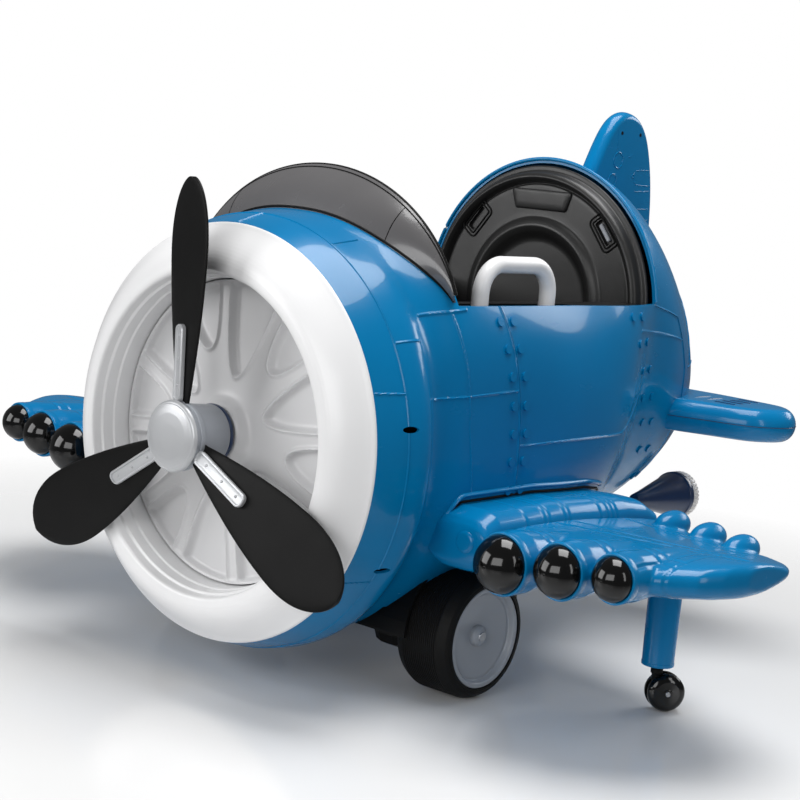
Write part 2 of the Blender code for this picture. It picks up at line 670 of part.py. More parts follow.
def build_tail(plug):
    fin = ((2.60, 2.20), (2.68, 2.44), (2.76, 2.62), (2.87, 2.82), (2.96, 2.900), (3.07, 2.930), (3.20, 2.89),
           (3.30, 2.78), (3.37, 2.58), (3.415, 2.35), (3.43, 2.05), (3.32, 1.65), (2.90, 1.90))
    side = Matrix.Translation(place(0, 0, 0)) @ SIDE_VIEW
    upright = plate("fin_outline", rounded(fin, 0.05, 2), R * 0.110, side, R * 0.036, 1)
    smooth(cut(as_part(upright, "tail_fin", "blue"), plug))

    tailplane = ((0.30, 2.74), (0.90, 2.86), (1.14, 2.93), (1.27, 3.04), (1.31, 3.18), (1.26, 3.31),
                 (1.12, 3.39), (0.90, 3.42), (0.25, 3.46))
    level = Matrix.Translation(place(0, 0, 1.235))
    flat = plate("tailplane_outline", rounded(tailplane, 0.05, 2), R * 0.200, level, R * 0.070, 2)
    left = combine(as_part(flat, "tailplane_left", "blue"), [plug], "DIFFERENCE", "MANIFOLD")
    smooth(left)
    mirrored(left, "tailplane_right", "blue")

    cone = ((0.0, 0.24), (0.040, 0.24), (0.128, -0.14), (0.138, -0.20), (0.0, -0.20))
    lens = ((0.0, -0.204), (0.138, -0.204), (0.138, -0.240), (0.110, -0.262), (0.0, -0.275))
    exhaust = cut(turned("exhaust_left", cone, EXHAUST, "-Y", "dark_blue", 28), plug)
    smooth(exhaust)
    mirrored(exhaust, "exhaust_right", "dark_blue")
    glow = smooth(turned("exhaust_lens_left", lens, EXHAUST, "-Y", "lens", 28))
    mirrored(glow, "exhaust_lens_right", "lens")


# ---------------------------------------------------------------- wings
# Wing sections: span position, leading edge, trailing edge, height, thickness.
WING = (
    (1.240, 0.480, 1.960, 0.800, 0.215),
    (1.474, 0.430, 1.800, 0.815, 0.215),
    (1.762, 0.440, 1.670, 0.830, 0.215),
    (2.027, 0.460, 1.540, 0.845, 0.210),
    (2.200, 0.520, 1.440, 0.860, 0.200),
    (2.320, 0.630, 1.350, 0.870, 0.180),
    (2.390, 0.750, 1.260, 0.880, 0.150),
    (2.420, 0.890, 1.180, 0.885, 0.100),
)
DOME_BULGE = 0.92         # how far a nacelle dome stands forward, in multiples of its radius

# Engine pods: span position, front face, height, radius; and the small domes at the trailing edge.
NACELLES = ((1.500, 0.335, 0.815, 0.122), (1.790, 0.361, 0.843, 0.110), (2.048, 0.394, 0.864, 0.096))
TAIL_DOMES = ((1.474, 1.745, 0.862), (1.762, 1.615, 0.872), (2.027, 1.475, 0.882))


def wing_ring(x, lead, trail, height, thick):
    """A closed blunt-nosed section."""
    ring = []
    count = 16
    for k in range(count):
        angle = 2 * math.pi * k / count
        along = 0.5 - 0.5 * math.cos(angle)
        bulk = abs(math.sin(angle)) ** 0.8 * (1.0 - 0.55 * along)
        lift = math.copysign(thick * bulk * 0.56, math.sin(angle))
        ring.append(place(x, lead + (trail - lead) * along, height + lift))
    return ring


def build_wing(plug):
    rings = [wing_ring(*row) for row in WING]
    wing = loft("wing_left", rings, "blue")
    pods = []
    for x, y, z, radius in NACELLES:
        socket = radius + 0.008
        pod = ((0.0, 0.0), (socket, 0.0), (socket, -0.16), (0.075, -0.52), (0.0, -0.56))
        pods.append(turned("pod", pod, (x, y, z), "-Y", steps=14))
    for x, y, z in TAIL_DOMES:
        dome = ((0.0, 0.15), (0.050, 0.11), (0.072, 0.0), (0.050, -0.075), (0.0, -0.105))
        pods.append(turned("tail_dome", dome, (x, y, z), "-Y", steps=12))
    smooth(join(wing, *pods))
    mirrored(wing, "wing_right", "blue")

    for number, (x, y, z, radius) in enumerate(NACELLES, 1):
        bulge = radius * DOME_BULGE
        arc = [(radius * math.cos(a), bulge * math.sin(a) + GAP / R) for a in np.radians((62, 40, 20, 0))]
        profile = ((0.0, bulge + GAP / R), *arc, (0.0, GAP / R))
        dome = smooth(turned(f"nacelle_dome_left_{number}", profile, (x, y, z), "-Y", "black_gloss", 18))
        mirrored(dome, f"nacelle_dome_right_{number}", "black_gloss")

    rows = ((0.540, 0.11, 0.800), (0.570, 0.165, 0.800), (0.660, 0.205, 0.805), (1.20, 0.205, 0.815),
            (1.70, 0.190, 0.805), (1.88, 0.150, 0.805), (1.96, 0.08, 0.810))
    rings = []
    for y, tall, z in rows:
        ring = []
        for k in range(16):
            angle = 2 * math.pi * (k + 0.5) / 16
            c, s = math.cos(angle), math.sin(angle)
            x = 1.055 + math.copysign(abs(c) ** 0.6, c) * 0.178
            ring.append(place(x, y, z + math.copysign(abs(s) ** 0.7, s) * tall * 0.75))
        rings.append(ring)
    root = loft("wing_root_left", rings, "blue")
    smooth(cut(root, plug))
    mirrored(root, "wing_root_right", "blue")


# ---------------------------------------------------------------- running gear
def build_wheel(side):
    """A ribbed wide tyre on a grey plastic rim."""
    suffix, axis = ("left", "+X") if side > 0 else ("right", "-X")
    width = WHEEL_OUT - WHEEL_IN
    centre = (side * WHEEL_IN, WHEEL_Y, WHEEL_Z)
    tyre = ((0.252, width), (0.266, width), (0.288, width - 0.016), (WHEEL_R, width - 0.070),
            (WHEEL_R, 0.070), (0.288, 0.016), (0.266, 0.0), (0.226, 0.0), (0.226, width - 0.030),
            (0.252, width - 0.030))
    smooth(turned(f"tyre_{suffix}", tyre, centre, axis, "tyre", 32))
    edge = 0.250
    rim = ((0.034, width - 0.026), (0.070, width - 0.040), (0.232, width - 0.004), (edge, width - 0.004),
           (edge, width - 0.028), (0.222, width - 0.028), (0.222, 0.012), (0.034, 0.012))
    smooth(turned(f"rim_{suffix}", rim, centre, axis, "wheel_grey", 28))


def build_drive(side):
    """Gearbox and motor beside each wheel, and the lining of its well."""
    suffix = "left" if side > 0 else "right"
    out = "+X" if side > 0 else "-X"
    x0, x1 = sorted((side * 0.440, side * 0.660))
    gearbox = box(f"gearbox_{suffix}", (x0, 0.700, 0.150), (x1, 1.100, 0.470), "black_matt", 0.016)
    bake(gearbox)
    bore = rod(f"gearbox_bore_{suffix}", 0.036, (side * 0.3, WHEEL_Y, WHEEL_Z), 0.5, out)
    smooth(cut(gearbox, bore))
    motor = ((0.0, 0.297), (0.040, 0.297), (0.040, 0.270), (0.078, 0.270), (0.078, 0.020), (0.040, 0.0),
             (0.0, 0.0))
    smooth(turned(f"drive_motor_{suffix}", motor, (side * 0.140, 1.045, 0.385), out, "steel", 20))

    shell = rod(f"liner_{suffix}", 0.341, (side * 0.405, WHEEL_Y, WHEEL_Z), 0.395, out, "black_matt", 32)
    hollow = rod(f"liner_hollow_{suffix}", 0.327, (side * 0.420, WHEEL_Y, WHEEL_Z), 0.6, out, steps=32)
    lower = box(f"liner_lower_{suffix}", (-1.2, 0.4, -0.2), (1.2, 1.3, 0.280))
    holes = [
        rod(f"liner_axle_{suffix}", 0.038, (side * 0.3, WHEEL_Y, WHEEL_Z), 0.3, out),
        rod(f"liner_motor_{suffix}", 0.084, (side * 0.3, 1.045, 0.385), 0.3, out),
    ]
    smooth(cut(shell, hollow, lower, *holes))
    shell.name = f"wheel_well_liner_{suffix}"


def caster(suffix, centre, turn):
    """A swivelling stem with a hood plate between two wheels on one axle, trailing its stem."""
    name = f"caster_{suffix}"
    pivot = bpy.data.objects.new(name, None)
    AIRPLANE.objects.link(pivot)
    pivot.matrix_world = Matrix.Translation(place(*centre, 0)) @ Matrix.Rotation(turn, 4, "Z")
    bpy.context.view_layer.update()
    hub_z = CASTER_R - DATUM
    hub = Matrix.Translation((R * CASTER_TRAIL, 0, R * hub_z))
    across = pivot.matrix_world @ hub @ Matrix.Rotation(-math.pi / 2, 4, "X")

    stem = ((0.0, STRUT_END + 0.10), (0.028, STRUT_END + 0.10), (0.028, STRUT_END - 0.020),
            (0.024, hub_z - 0.01), (0.0, hub_z - 0.01))
    fork = turned(f"caster_fork_{suffix}", stem, (*centre, 0), "+Z", "black_matt", 12)
    hood = rod(f"{name}_hood", 0.086, (0, 0, -0.014), 0.028, "+Z", steps=16)
    bore = rod(f"{name}_bore", 0.017, (0, 0, -0.1), 0.2, "+Z", steps=12)
    trim = [rod(f"{name}_trim_{z}", 0.108, (0, 0, z), 0.1, "+Z", steps=12) for z in (0.0145, -0.1145)]
    for piece in (hood, bore, *trim):
        piece.matrix_world = across @ Matrix.Translation(-place(0, 0, 0)) @ piece.matrix_world
    bpy.context.view_layer.update()
    smooth(cut(join(fork, hood), *trim, bore))

    edge, inner, outer, axle = CASTER_R, 0.018, 0.066, 0.0135
    profile = ((0.0, outer), (edge - 0.016, outer), (edge, outer - 0.014), (edge, inner), (axle, inner),
               (axle, -inner), (edge, -inner), (edge, -outer + 0.014), (edge - 0.016, -outer), (0.0, -outer))
    wheel = turned(f"caster_wheel_{suffix}", profile, (0, 0, 0), "+Z", "black_gloss", 20)
    wheel.matrix_world = across
    smooth(wheel)
    for piece in (fork, wheel):
        piece.parent = pivot
        piece.matrix_parent_inverse = pivot.matrix_world.inverted()


def build_struts(wing_plugs):
    for side, suffix in ((1, "left"), (-1, "right")):
        profile = ((0.0, 0.800), (0.086, 0.800), (0.077, STRUT_END), (0.034, STRUT_END),
                   (0.034, STRUT_END + 0.13), (0.0, STRUT_END + 0.13))
        strut = turned(f"strut_{suffix}", profile, (side * STRUT_X, STRUT_Y, 0), "+Z", "blue", 24)
        smooth(cut(strut, wing_plugs[suffix]))
        turn = CASTER_TURN if side > 0 else math.pi - CASTER_TURN
        caster(suffix, (side * STRUT_X, STRUT_Y), turn)
    caster("rear", (0.0, REAR_CASTER_Y), math.pi / 2)


def build_chassis():
    """Steel spine and cross members, the axle, the rear caster post and the battery."""
    spine = box("chassis_frame", (-0.110, 0.180, 0.520), (0.110, 2.385, 0.590), "steel")
    bake(spine)
    cross = box("cross_member", (-0.380, 1.130, 0.520), (0.380, 1.260, 0.590))
    tray = box("battery_tray", (-0.340, 1.700, 0.520), (0.340, 2.150, 0.590))
    hangers = [box(f"axle_hanger_{x}", (x - 0.03, 0.800, 0.246), (x + 0.03, 0.960, 0.580))
               for x in (-0.17, 0.17)]
    tie = box("axle_tie", (-0.200, 0.800, 0.520), (0.200, 0.960, 0.590))
    post = ((0.0, 0.560), (0.075, 0.560), (0.075, STRUT_END), (0.034, STRUT_END), (0.034, STRUT_END + 0.13),
            (0.0, STRUT_END + 0.13))
    socket = turned("caster_post", post, (0, REAR_CASTER_Y, 0), "+Z", steps=20)
    axle_hole = rod("axle_hole_cutter", 0.034, (-0.5, WHEEL_Y, WHEEL_Z), 1.0, "+X")
    join(spine, cross, tray, *hangers, tie, socket)
    smooth(cut(spine, axle_hole))

    axle = ((0.0, 2.02), (0.022, 2.02), (0.030, 2.00), (0.030, 0.02), (0.022, 0.0), (0.0, 0.0))
    smooth(turned("main_axle", axle, (-1.01, WHEEL_Y, WHEEL_Z), "+X", "steel", 20))
    battery = box("battery", (-0.300, 1.725, 0.594), (0.300, 2.120, 0.980), "black_matt", 0.006)
    smooth(bake(battery))


# ---------------------------------------------------------------- assembly
def build():
    build_fuselage()
    build_nose()
    build_propeller()
    plug = hull_plug("hull_plug", 0.0, HULL[-1][0])
    build_windshield(plug)
    build_tub()
    build_seat_back()
    build_dash()
    for side in (1, -1):
        build_lever(side)
        build_wheel(side)
        build_drive(side)
    build_tail(plug)
    build_wing(plug)
    plugs = {}
    for suffix in ("left", "right"):
        wing = bpy.data.objects[f"wing_{suffix}"]
        plugs[suffix] = add(f"wing_plug_{suffix}", wing.data.copy())
        plugs[suffix].data.materials.clear()
        plugs[suffix].location = (0, 0, -2 * GAP)
    bpy.context.view_layer.update()
    build_struts(plugs)
    build_chassis()


build()
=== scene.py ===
"""Looks of the ride-on toy airplane: fine shapes, materials, studio light and camera.

The nose points to -Y, +X is the airplane's left-hand side and +Z is up.  Sizes are
multiples of R, the radius of the nose ring's rear seam, unless a name ends in _MM;
y is counted from that seam and z from DATUM above the ground, as in the CAD model.
The camera, the lights and the floor are in metres from the frame's own origin.
"""
import json
import math

import bmesh
import bpy
import numpy as np
from mathutils import Matrix, Vector


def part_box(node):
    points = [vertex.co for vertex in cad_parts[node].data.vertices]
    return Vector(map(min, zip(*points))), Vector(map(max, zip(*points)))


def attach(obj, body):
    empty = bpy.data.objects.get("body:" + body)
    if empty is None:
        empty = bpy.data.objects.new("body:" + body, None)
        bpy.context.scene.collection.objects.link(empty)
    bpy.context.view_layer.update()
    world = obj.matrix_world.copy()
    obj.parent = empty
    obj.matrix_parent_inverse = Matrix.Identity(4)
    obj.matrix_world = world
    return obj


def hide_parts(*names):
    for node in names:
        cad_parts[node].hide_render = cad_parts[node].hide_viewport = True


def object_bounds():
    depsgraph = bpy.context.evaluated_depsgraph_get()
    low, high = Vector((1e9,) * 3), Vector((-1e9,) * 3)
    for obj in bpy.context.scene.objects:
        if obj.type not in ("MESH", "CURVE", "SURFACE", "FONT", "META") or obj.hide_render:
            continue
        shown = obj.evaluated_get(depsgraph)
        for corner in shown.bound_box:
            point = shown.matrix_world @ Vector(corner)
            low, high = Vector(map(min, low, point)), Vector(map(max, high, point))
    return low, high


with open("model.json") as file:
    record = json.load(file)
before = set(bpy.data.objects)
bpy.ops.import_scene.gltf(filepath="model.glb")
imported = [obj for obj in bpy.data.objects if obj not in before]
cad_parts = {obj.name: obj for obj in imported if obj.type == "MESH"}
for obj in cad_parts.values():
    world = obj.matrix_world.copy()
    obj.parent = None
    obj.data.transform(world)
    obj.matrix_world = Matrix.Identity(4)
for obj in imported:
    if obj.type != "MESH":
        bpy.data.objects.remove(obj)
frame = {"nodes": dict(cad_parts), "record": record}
CAD_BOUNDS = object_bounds()

# ---------------------------------------------------------------- driving dimensions
RING_LOW, RING_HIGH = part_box("nose_ring")
R = (RING_HIGH[0] - RING_LOW[0]) / 2
MM = 0.001
NOSE_Y = -1.67           # the nose seam, in multiples of R from the origin
DATUM = 0.02
PROP_Z = 1.167
SEAM_REAR = 2.4
# Seams between the fuselage's three shells, seen from the side: distance behind the nose, height.
FRONT_SEAM = ((0.915, 1.9), (0.985, 1.65), (1.03, 1.35), (1.045, 1.1), (1.06, 0.95))
REAR_SEAM = ((SEAM_REAR, 1.872), (2.59, 1.835), (2.74, 1.8), (2.84, 1.66), (2.93, 1.5),
             (2.96, 1.3))
COWL_SLOTS = ((0.18, 1.344), (0.193, 0.676))
SILL_Z = 1.88
COCKPIT_FRONT = 0.62
SKIN_MM = 4.0
GAP_MM = 0.6

# Fuselage sections: distance behind the nose seam, half width, height of the widest
# point, top, bottom, squareness of the upper and lower halves.
HULL = np.array((
    (0.0, 1.0, 1.167, 2.167, 0.167, 2.0, 2.0),
    (0.16, 1.04, 1.167, 2.214, 0.124, 2.02, 2.0),
    (0.32, 1.045, 1.167, 2.238, 0.112, 2.1, 2.0),
    (0.38, 0.99, 1.167, 2.245, 0.14, 2.25, 2.05),
    (0.62, 0.985, 1.18, 2.235, 0.17, 3.0, 2.15),
    (1.01, 0.99, 1.2, 2.225, 0.215, 3.0, 2.3),
    (1.6, 0.985, 1.26, 2.26, 0.29, 2.6, 2.3),
    (2.05, 0.93, 1.48, 2.42, 0.37, 2.3, 2.25),
    (2.4, 0.8, 1.78, 2.6, 0.47, 2.0, 2.2),
    (2.8, 0.735, 1.56, 2.45, 0.61, 2.0, 2.15),
    (3.15, 0.6, 1.42, 2.13, 0.76, 2.0, 2.1),
    (3.4, 0.44, 1.35, 1.85, 0.9, 2.0, 2.0),
    (3.56, 0.29, 1.31, 1.64, 1.02, 2.0, 2.0),
    (3.65, 0.14, 1.29, 1.46, 1.14, 2.0, 2.0),
    (3.67, 0.06, 1.29, 1.36, 1.22, 2.0, 2.0),
))


# ---------------------------------------------------------------- materials
def node(tree, kind, **values):
    """A new shader node with its attributes and inputs set by name."""
    made = tree.nodes.new(kind)
    for key, value in values.items():
        if key in made.inputs:
            made.inputs[key].default_value = value
        else:
            setattr(made, key, value)
    return made


def noise(tree, coords, scale, detail=3.0, stretch=(1, 1, 1)):
    mapping = node(tree, "ShaderNodeMapping")
    mapping.inputs["Scale"].default_value = stretch
    tree.links.new(coords, mapping.inputs["Vector"])
    made = node(tree, "ShaderNodeTexNoise", Scale=scale, Detail=detail)
    tree.links.new(mapping.outputs[0], made.inputs["Vector"])
    return made.outputs["Fac"]


def ramp(tree, value, low, high, out_low, out_high):
    """Map value from low..high to out_low..out_high, clamped."""
    made = node(tree, "ShaderNodeMapRange")
    for key, number in zip(("From Min", "From Max", "To Min", "To Max"), (low, high, out_low, out_high)):
        made.inputs[key].default_value = number
    tree.links.new(value, made.inputs["Value"])
    return made.outputs[0]


def plastic(name, colour, rough, coat=0.0, grain_mm=1.2, grain=0.05, mottle=0.05, scuff=0.05, metallic=0.0,
            specular=0.5):
    """Moulded plastic: faint mottling, fine moulding grain and handling scuffs in the gloss."""
    material = bpy.data.materials.new(name)
    material.use_nodes = True
    tree = material.node_tree
    shader = tree.nodes["Principled BSDF"]
    shader.inputs["Metallic"].default_value = metallic
    shader.inputs["Coat Weight"].default_value = coat
    shader.inputs["Coat Roughness"].default_value = 0.05
    shader.inputs["Specular IOR Level"].default_value = specular
    coords = node(tree, "ShaderNodeTexCoord").outputs["Object"]

    tint = node(tree, "ShaderNodeMix", data_type="RGBA")
    dark = [c * (1.0 - mottle) for c in colour]
    light = [min(c * (1.0 + mottle), 1.0) for c in colour]
    tint.inputs["A"].default_value = (*dark, 1.0)
    tint.inputs["B"].default_value = (*light, 1.0)
    tree.links.new(ramp(tree, noise(tree, coords, 7.0), 0.35, 0.65, 0.0, 1.0), tint.inputs["Factor"])
    tree.links.new(tint.outputs["Result"], shader.inputs["Base Color"])

    wear = noise(tree, coords, 38.0, 6.0, (1.0, 0.35, 1.0))
    tree.links.new(ramp(tree, wear, 0.45, 0.75, rough, rough + scuff), shader.inputs["Roughness"])

    bump = node(tree, "ShaderNodeBump", Strength=grain, Distance=0.0006)
    tree.links.new(noise(tree, coords, 1000.0 / grain_mm, 2.0), bump.inputs["Height"])
    tree.links.new(bump.outputs["Normal"], shader.inputs["Normal"])
    return material


MATERIALS = {
    "blue": plastic("blue", (0.0, 0.16, 0.37), 0.24, coat=0.28, grain_mm=9.0, grain=0.03, mottle=0.04,
                    specular=0.14),
    "dark_blue": plastic("dark_blue", (0.004, 0.022, 0.075), 0.28, coat=0.2),
    "white": plastic("white", (0.8, 0.8, 0.805), 0.34, coat=0.1, grain_mm=2.0, mottle=0.015),
    "light_grey": plastic("light_grey", (0.62, 0.62, 0.628), 0.36, grain_mm=2.0, mottle=0.02),
    "silver": plastic("silver", (0.49, 0.5, 0.515), 0.34, grain_mm=0.8, grain=0.12, metallic=0.35),
    "hub_grey": plastic("hub_grey", (0.33, 0.35, 0.385), 0.36, grain_mm=0.8, grain=0.12, metallic=0.25),
    "black_gloss": plastic("black_gloss", (0.003, 0.003, 0.003), 0.1, coat=0.25, specular=0.3, grain=0.0,
                           scuff=0.03),
    "black_matt": plastic("black_matt", (0.007, 0.007, 0.007), 0.4, specular=0.08, grain_mm=0.7, grain=0.25,
                          mottle=0.15),
    "soft_black": plastic("soft_black", (0.013, 0.013, 0.013), 0.36, specular=0.45, grain_mm=0.9, grain=0.2,
                          mottle=0.1),
    "smoke": plastic("smoke", (0.105, 0.102, 0.104), 0.24, coat=0.3, grain_mm=3.0),
    "wheel_grey": plastic("wheel_grey", (0.3, 0.32, 0.35), 0.34, grain_mm=1.0, grain=0.08),
    "tyre": plastic("tyre", (0.004, 0.004, 0.004), 0.5, specular=0.15, grain_mm=0.9, grain=0.35, mottle=0.2,
                    scuff=0.15),
    "steel": plastic("steel", (0.42, 0.43, 0.45), 0.38, grain_mm=0.5, grain=0.1, metallic=0.9, scuff=0.2),
    "lens": plastic("lens", (0.76, 0.74, 0.72), 0.3, grain_mm=2.0),
}
SLOT_OF = {part["node"]: part["material_slot"] for part in frame["record"]["subparts"]}
BODY_OF = {n: body for body, nodes in frame["record"]["behaviour"]["bodies"].items() for n in nodes}
SIDES = ((1, "left", "+X"), (-1, "right", "-X"))    # sign of x, name, outward axis


# ---------------------------------------------------------------- mesh helpers
def place(x, y, z):
    return Vector((R * x, R * (NOSE_Y + y), R * (DATUM + z)))


def publish(obj, nodes, finish=None, angle=35.0):
    """Shade a piece, give it its finish and let it ride with, or stand for, CAD nodes."""
    obj.data.shade_smooth()
    if angle:
        obj.data.set_sharp_from_angle(angle=math.radians(angle))
    finish = finish or SLOT_OF[nodes[0]]
    obj.data.materials.clear()
    obj.data.materials.append(MATERIALS[finish])
    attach(obj, BODY_OF[nodes[0]])
    finish if finish in SLOT_OF.values() else SLOT_OF[nodes[0]]
    return obj


def stand_in(obj, *nodes, finish=None, angle=35.0):
    """The piece replaces these CAD nodes."""
    publish(obj, nodes, finish, angle)
    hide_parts(*nodes)
    return obj


def detail(obj, host, finish):
    """An extra piece that rides with a CAD node's body."""
    return publish(obj, (host,), finish)


def new_object(name, bm):
    data = bpy.data.meshes.new(name)
    bm.to_mesh(data)
    bm.free()
    obj = bpy.data.objects.new(name, data)
    bpy.context.scene.collection.objects.link(obj)
    return obj


def bake(obj):
    """Apply an object's modifiers and its transform."""
    bpy.context.view_layer.update()
    graph = bpy.context.evaluated_depsgraph_get()
    data = bpy.data.meshes.new_from_object(obj.evaluated_get(graph))
    obj.modifiers.clear()
    obj.data = data
    data.transform(obj.matrix_world)
    obj.matrix_world = Matrix.Identity(4)
    return obj


def grid_mesh(name, rows, closed_u=False, closed_v=False, cap=False):
    """Quads through rows of points; u runs along a row and v from row to row."""
    bm = bmesh.new()
    grid = [[bm.verts.new(p) for p in row] for row in rows]
    width, height = len(grid[0]), len(grid)
    for j in range(height if closed_v else height - 1):
        for i in range(width if closed_u else width - 1):
            a, b = grid[j], grid[(j + 1) % height]
            k = (i + 1) % width
            bm.faces.new((a[i], a[k], b[k], b[i]))
    if cap:
        bm.faces.new(grid[0])
        bm.faces.new(grid[-1])
    bmesh.ops.recalc_face_normals(bm, faces=bm.faces)
    return new_object(name, bm)


def softened(profile, radius, steps=3):
    """A profile with its corners rounded off by up to a radius."""
    result = [profile[0]]
    for before, here, after in zip(profile, profile[1:], profile[2:]):
        corner = Vector(here)
        back, on = Vector(before) - corner, Vector(after) - corner
        reach = min(radius, back.length * 0.45, on.length * 0.45)
        start, end = corner + back.normalized() * reach, corner + on.normalized() * reach
        for k in range(steps + 1):
            t = k / steps
            result.append(tuple((1 - t) ** 2 * start + 2 * t * (1 - t) * corner + t * t * end))
    return result + [profile[-1]]


TURNS = {
    "+X": Matrix.Rotation(math.pi / 2, 4, "Y"), "-X": Matrix.Rotation(-math.pi / 2, 4, "Y"),
    "+Y": Matrix.Rotation(-math.pi / 2, 4, "X"), "-Y": Matrix.Rotation(math.pi / 2, 4, "X"),
    "+Z": Matrix.Identity(4),
}


def turned(name, profile, centre, axis, steps=96, radius=0.006, matrix=None):
    """A turned piece: (radius, height along the axis) pairs, corners softened."""
    outline = softened(profile, radius) if radius else list(profile)
    stand = matrix or Matrix.Translation(place(*centre)) @ TURNS[axis]
    closed = outline[0][0] > 0
    bm = bmesh.new()
    rings = []
    for r, h in outline:
        if r <= 1e-6:
            rings.append([bm.verts.new(stand @ Vector((0, 0, R * h)))])
        else:
            angles = [2 * math.pi * k / steps for k in range(steps)]
            rings.append([bm.verts.new(stand @ Vector((R * r * math.cos(a), R * r * math.sin(a), R * h)))
                          for a in angles])
    pairs = list(zip(rings, rings[1:])) + ([(rings[-1], rings[0])] if closed else [])
    for a, b in pairs:
        for i in range(steps):
            j = (i + 1) % steps
            quad = (a[i % len(a)], a[j % len(a)], b[j % len(b)], b[i % len(b)])
            corners = list(dict.fromkeys(quad))
            if len(corners) > 2:
                bm.faces.new(corners)
    bmesh.ops.recalc_face_normals(bm, faces=bm.faces)
    return new_object(name, bm)


def tube(name, path, radius, closed=False, steps=10, flat=1.0, normal=None):
    """A round bead along world points, its radius in metres.

    flat squeezes its height, and normal stands square to the plane that a flat path lies in.
    """
    points = [Vector(p) for p in path]
    count = len(points)
    rows = []
    for k, here in enumerate(points):
        ahead = points[(k + 1) % count] if closed or k < count - 1 else here
        behind = points[k - 1] if closed or k > 0 else here
        along = (ahead - behind).normalized()
        upright = Vector(normal) if normal else Vector((0, 0, 1) if abs(along.z) < 0.9 else (1, 0, 0))
        side = along.cross(upright).normalized()
        up = side.cross(along)
        rows.append([here + side * (radius * math.cos(a)) + up * (radius * flat * math.sin(a))
                     for a in (2 * math.pi * i / steps for i in range(steps))])
    return grid_mesh(name, rows, closed_u=True, closed_v=closed, cap=not closed)


def cut_by(obj, cutters):
    """Subtract other solids from a piece."""
    for cutter in cutters:
        step = obj.modifiers.new("cut", "BOOLEAN")
        step.operation, step.object, step.solver = "DIFFERENCE", cutter, "MANIFOLD"
    bake(obj)
    for cutter in cutters:
        bpy.data.objects.remove(cutter, do_unlink=True)
    return obj


def block(name, low, high):
    bm = bmesh.new()
    bmesh.ops.create_cube(bm, size=1.0)
    a, b = place(*low), place(*high)
    bmesh.ops.scale(bm, vec=b - a, verts=bm.verts)
    bmesh.ops.translate(bm, vec=(a + b) / 2, verts=bm.verts)
    return new_object(name, bm)


def merged(name, pieces):
    """Several meshes as one piece."""
    bm = bmesh.new()
    for piece in pieces:
        bm.from_mesh(piece.data)
        bpy.data.objects.remove(piece, do_unlink=True)
    return new_object(name, bm)


def mirror_copy(obj, name):
    bm = bmesh.new()
    bm.from_mesh(obj.data)
    bmesh.ops.scale(bm, vec=(-1, 1, 1), verts=bm.verts)
    bmesh.ops.reverse_faces(bm, faces=bm.faces)
    return new_object(name, bm)


def stand_in_pair(left, node_name, **options):
    """A left-hand piece and its mirror image replace a pair of CAD nodes."""
    stand_in(left, node_name, **options)
    right = node_name.replace("_left", "_right")
    stand_in(mirror_copy(left, right + "_visual"), right, **options)


def detail_pair(left, host, finish):
    """A left-hand extra piece and its mirror image."""
    detail(left, host, finish)
    mirrored = mirror_copy(left, left.name.replace("_left", "_right"))
    detail(mirrored, host.replace("_left", "_right"), finish)


# ---------------------------------------------------------------- the hull's surface
def hull_values(y):
    """The table's columns at each distance y, by smooth interpolation."""
    y = np.asarray(y, dtype=float)
    stations, columns = HULL[:, 0], HULL[:, 1:]
    slopes = np.gradient(columns, stations, axis=0)
    i = np.clip(np.searchsorted(stations, y) - 1, 0, len(stations) - 2)
    span = (stations[i + 1] - stations[i])[..., None]
    t = (y[..., None] - stations[i][..., None]) / span
    a, b, ma, mb = columns[i], columns[i + 1], slopes[i] * span, slopes[i + 1] * span
    mixed = ((2 * t**3 - 3 * t**2 + 1) * a + (t**3 - 2 * t**2 + t) * ma
             + (3 * t**2 - 2 * t**3) * b + (t**3 - t**2) * mb)
    return np.moveaxis(mixed, -1, 0)


def hull_points(angle, y):
    """World points at an angle round the hull, 0 at the top and positive to port."""
    half, widest, top, bottom, upper, lower = hull_values(y)
    s, c = np.sin(angle), np.cos(angle)
    rise = np.where(c > 0, top - widest, widest - bottom)
    power = np.where(c > 0, upper, lower)
    reach = (np.abs(s / half) ** power + np.abs(c / rise) ** power) ** (-1 / power)
    return np.stack((R * reach * s, R * (NOSE_Y + y), R * (DATUM + widest + reach * c)), axis=-1)


def hull_normals(angle, y):
    step = 1e-4
    across = hull_points(angle + step, y) - hull_points(angle - step, y)
    along = hull_points(angle, y + step) - hull_points(angle, y - step)
    normal = np.cross(along, across)
    return normal / np.linalg.norm(normal, axis=-1, keepdims=True)


def port_angle(y, z):
    """The angle at which the port side reaches a height z."""
    half, widest, top, bottom, upper, lower = (float(v) for v in hull_values(y))
    rise, power = (top - widest, upper) if z > widest else (widest - bottom, lower)
    share = min(abs(z - widest) / rise, 1.0)
    return math.atan2(half * (1 - share**power) ** (1 / power), z - widest)


def side_line(*points, step=0.03):
    """A line on the hull's side through (y, z) points, as (angle, y) pairs."""
    result = []
    for (ya, za), (yb, zb) in zip(points, points[1:]):
        count = max(1, int(math.hypot(yb - ya, zb - za) / step))
        result += [(ya + (yb - ya) * k / count, za + (zb - za) * k / count) for k in range(count)]
    result.append(points[-1])
    return [(port_angle(y, z), y) for y, z in result]


def round_line(y):
    """A line down one side of the hull at one distance, from top to bottom."""
    return [(math.pi * k / 60, y) for k in range(61)]


def distance_to_lines(points, lines):
    """The distance of flat points to the nearest of many polylines."""
    nearest = np.full(len(points), 1e9)
    for line in lines:
        ends = np.asarray(line)
        for a, b in zip(ends, ends[1:]):
            along = b - a
            t = np.clip((points - a) @ along / max(along @ along, 1e-12), 0, 1)
            nearest = np.minimum(nearest, np.linalg.norm(points - a - t[:, None] * along, axis=1))
    return nearest


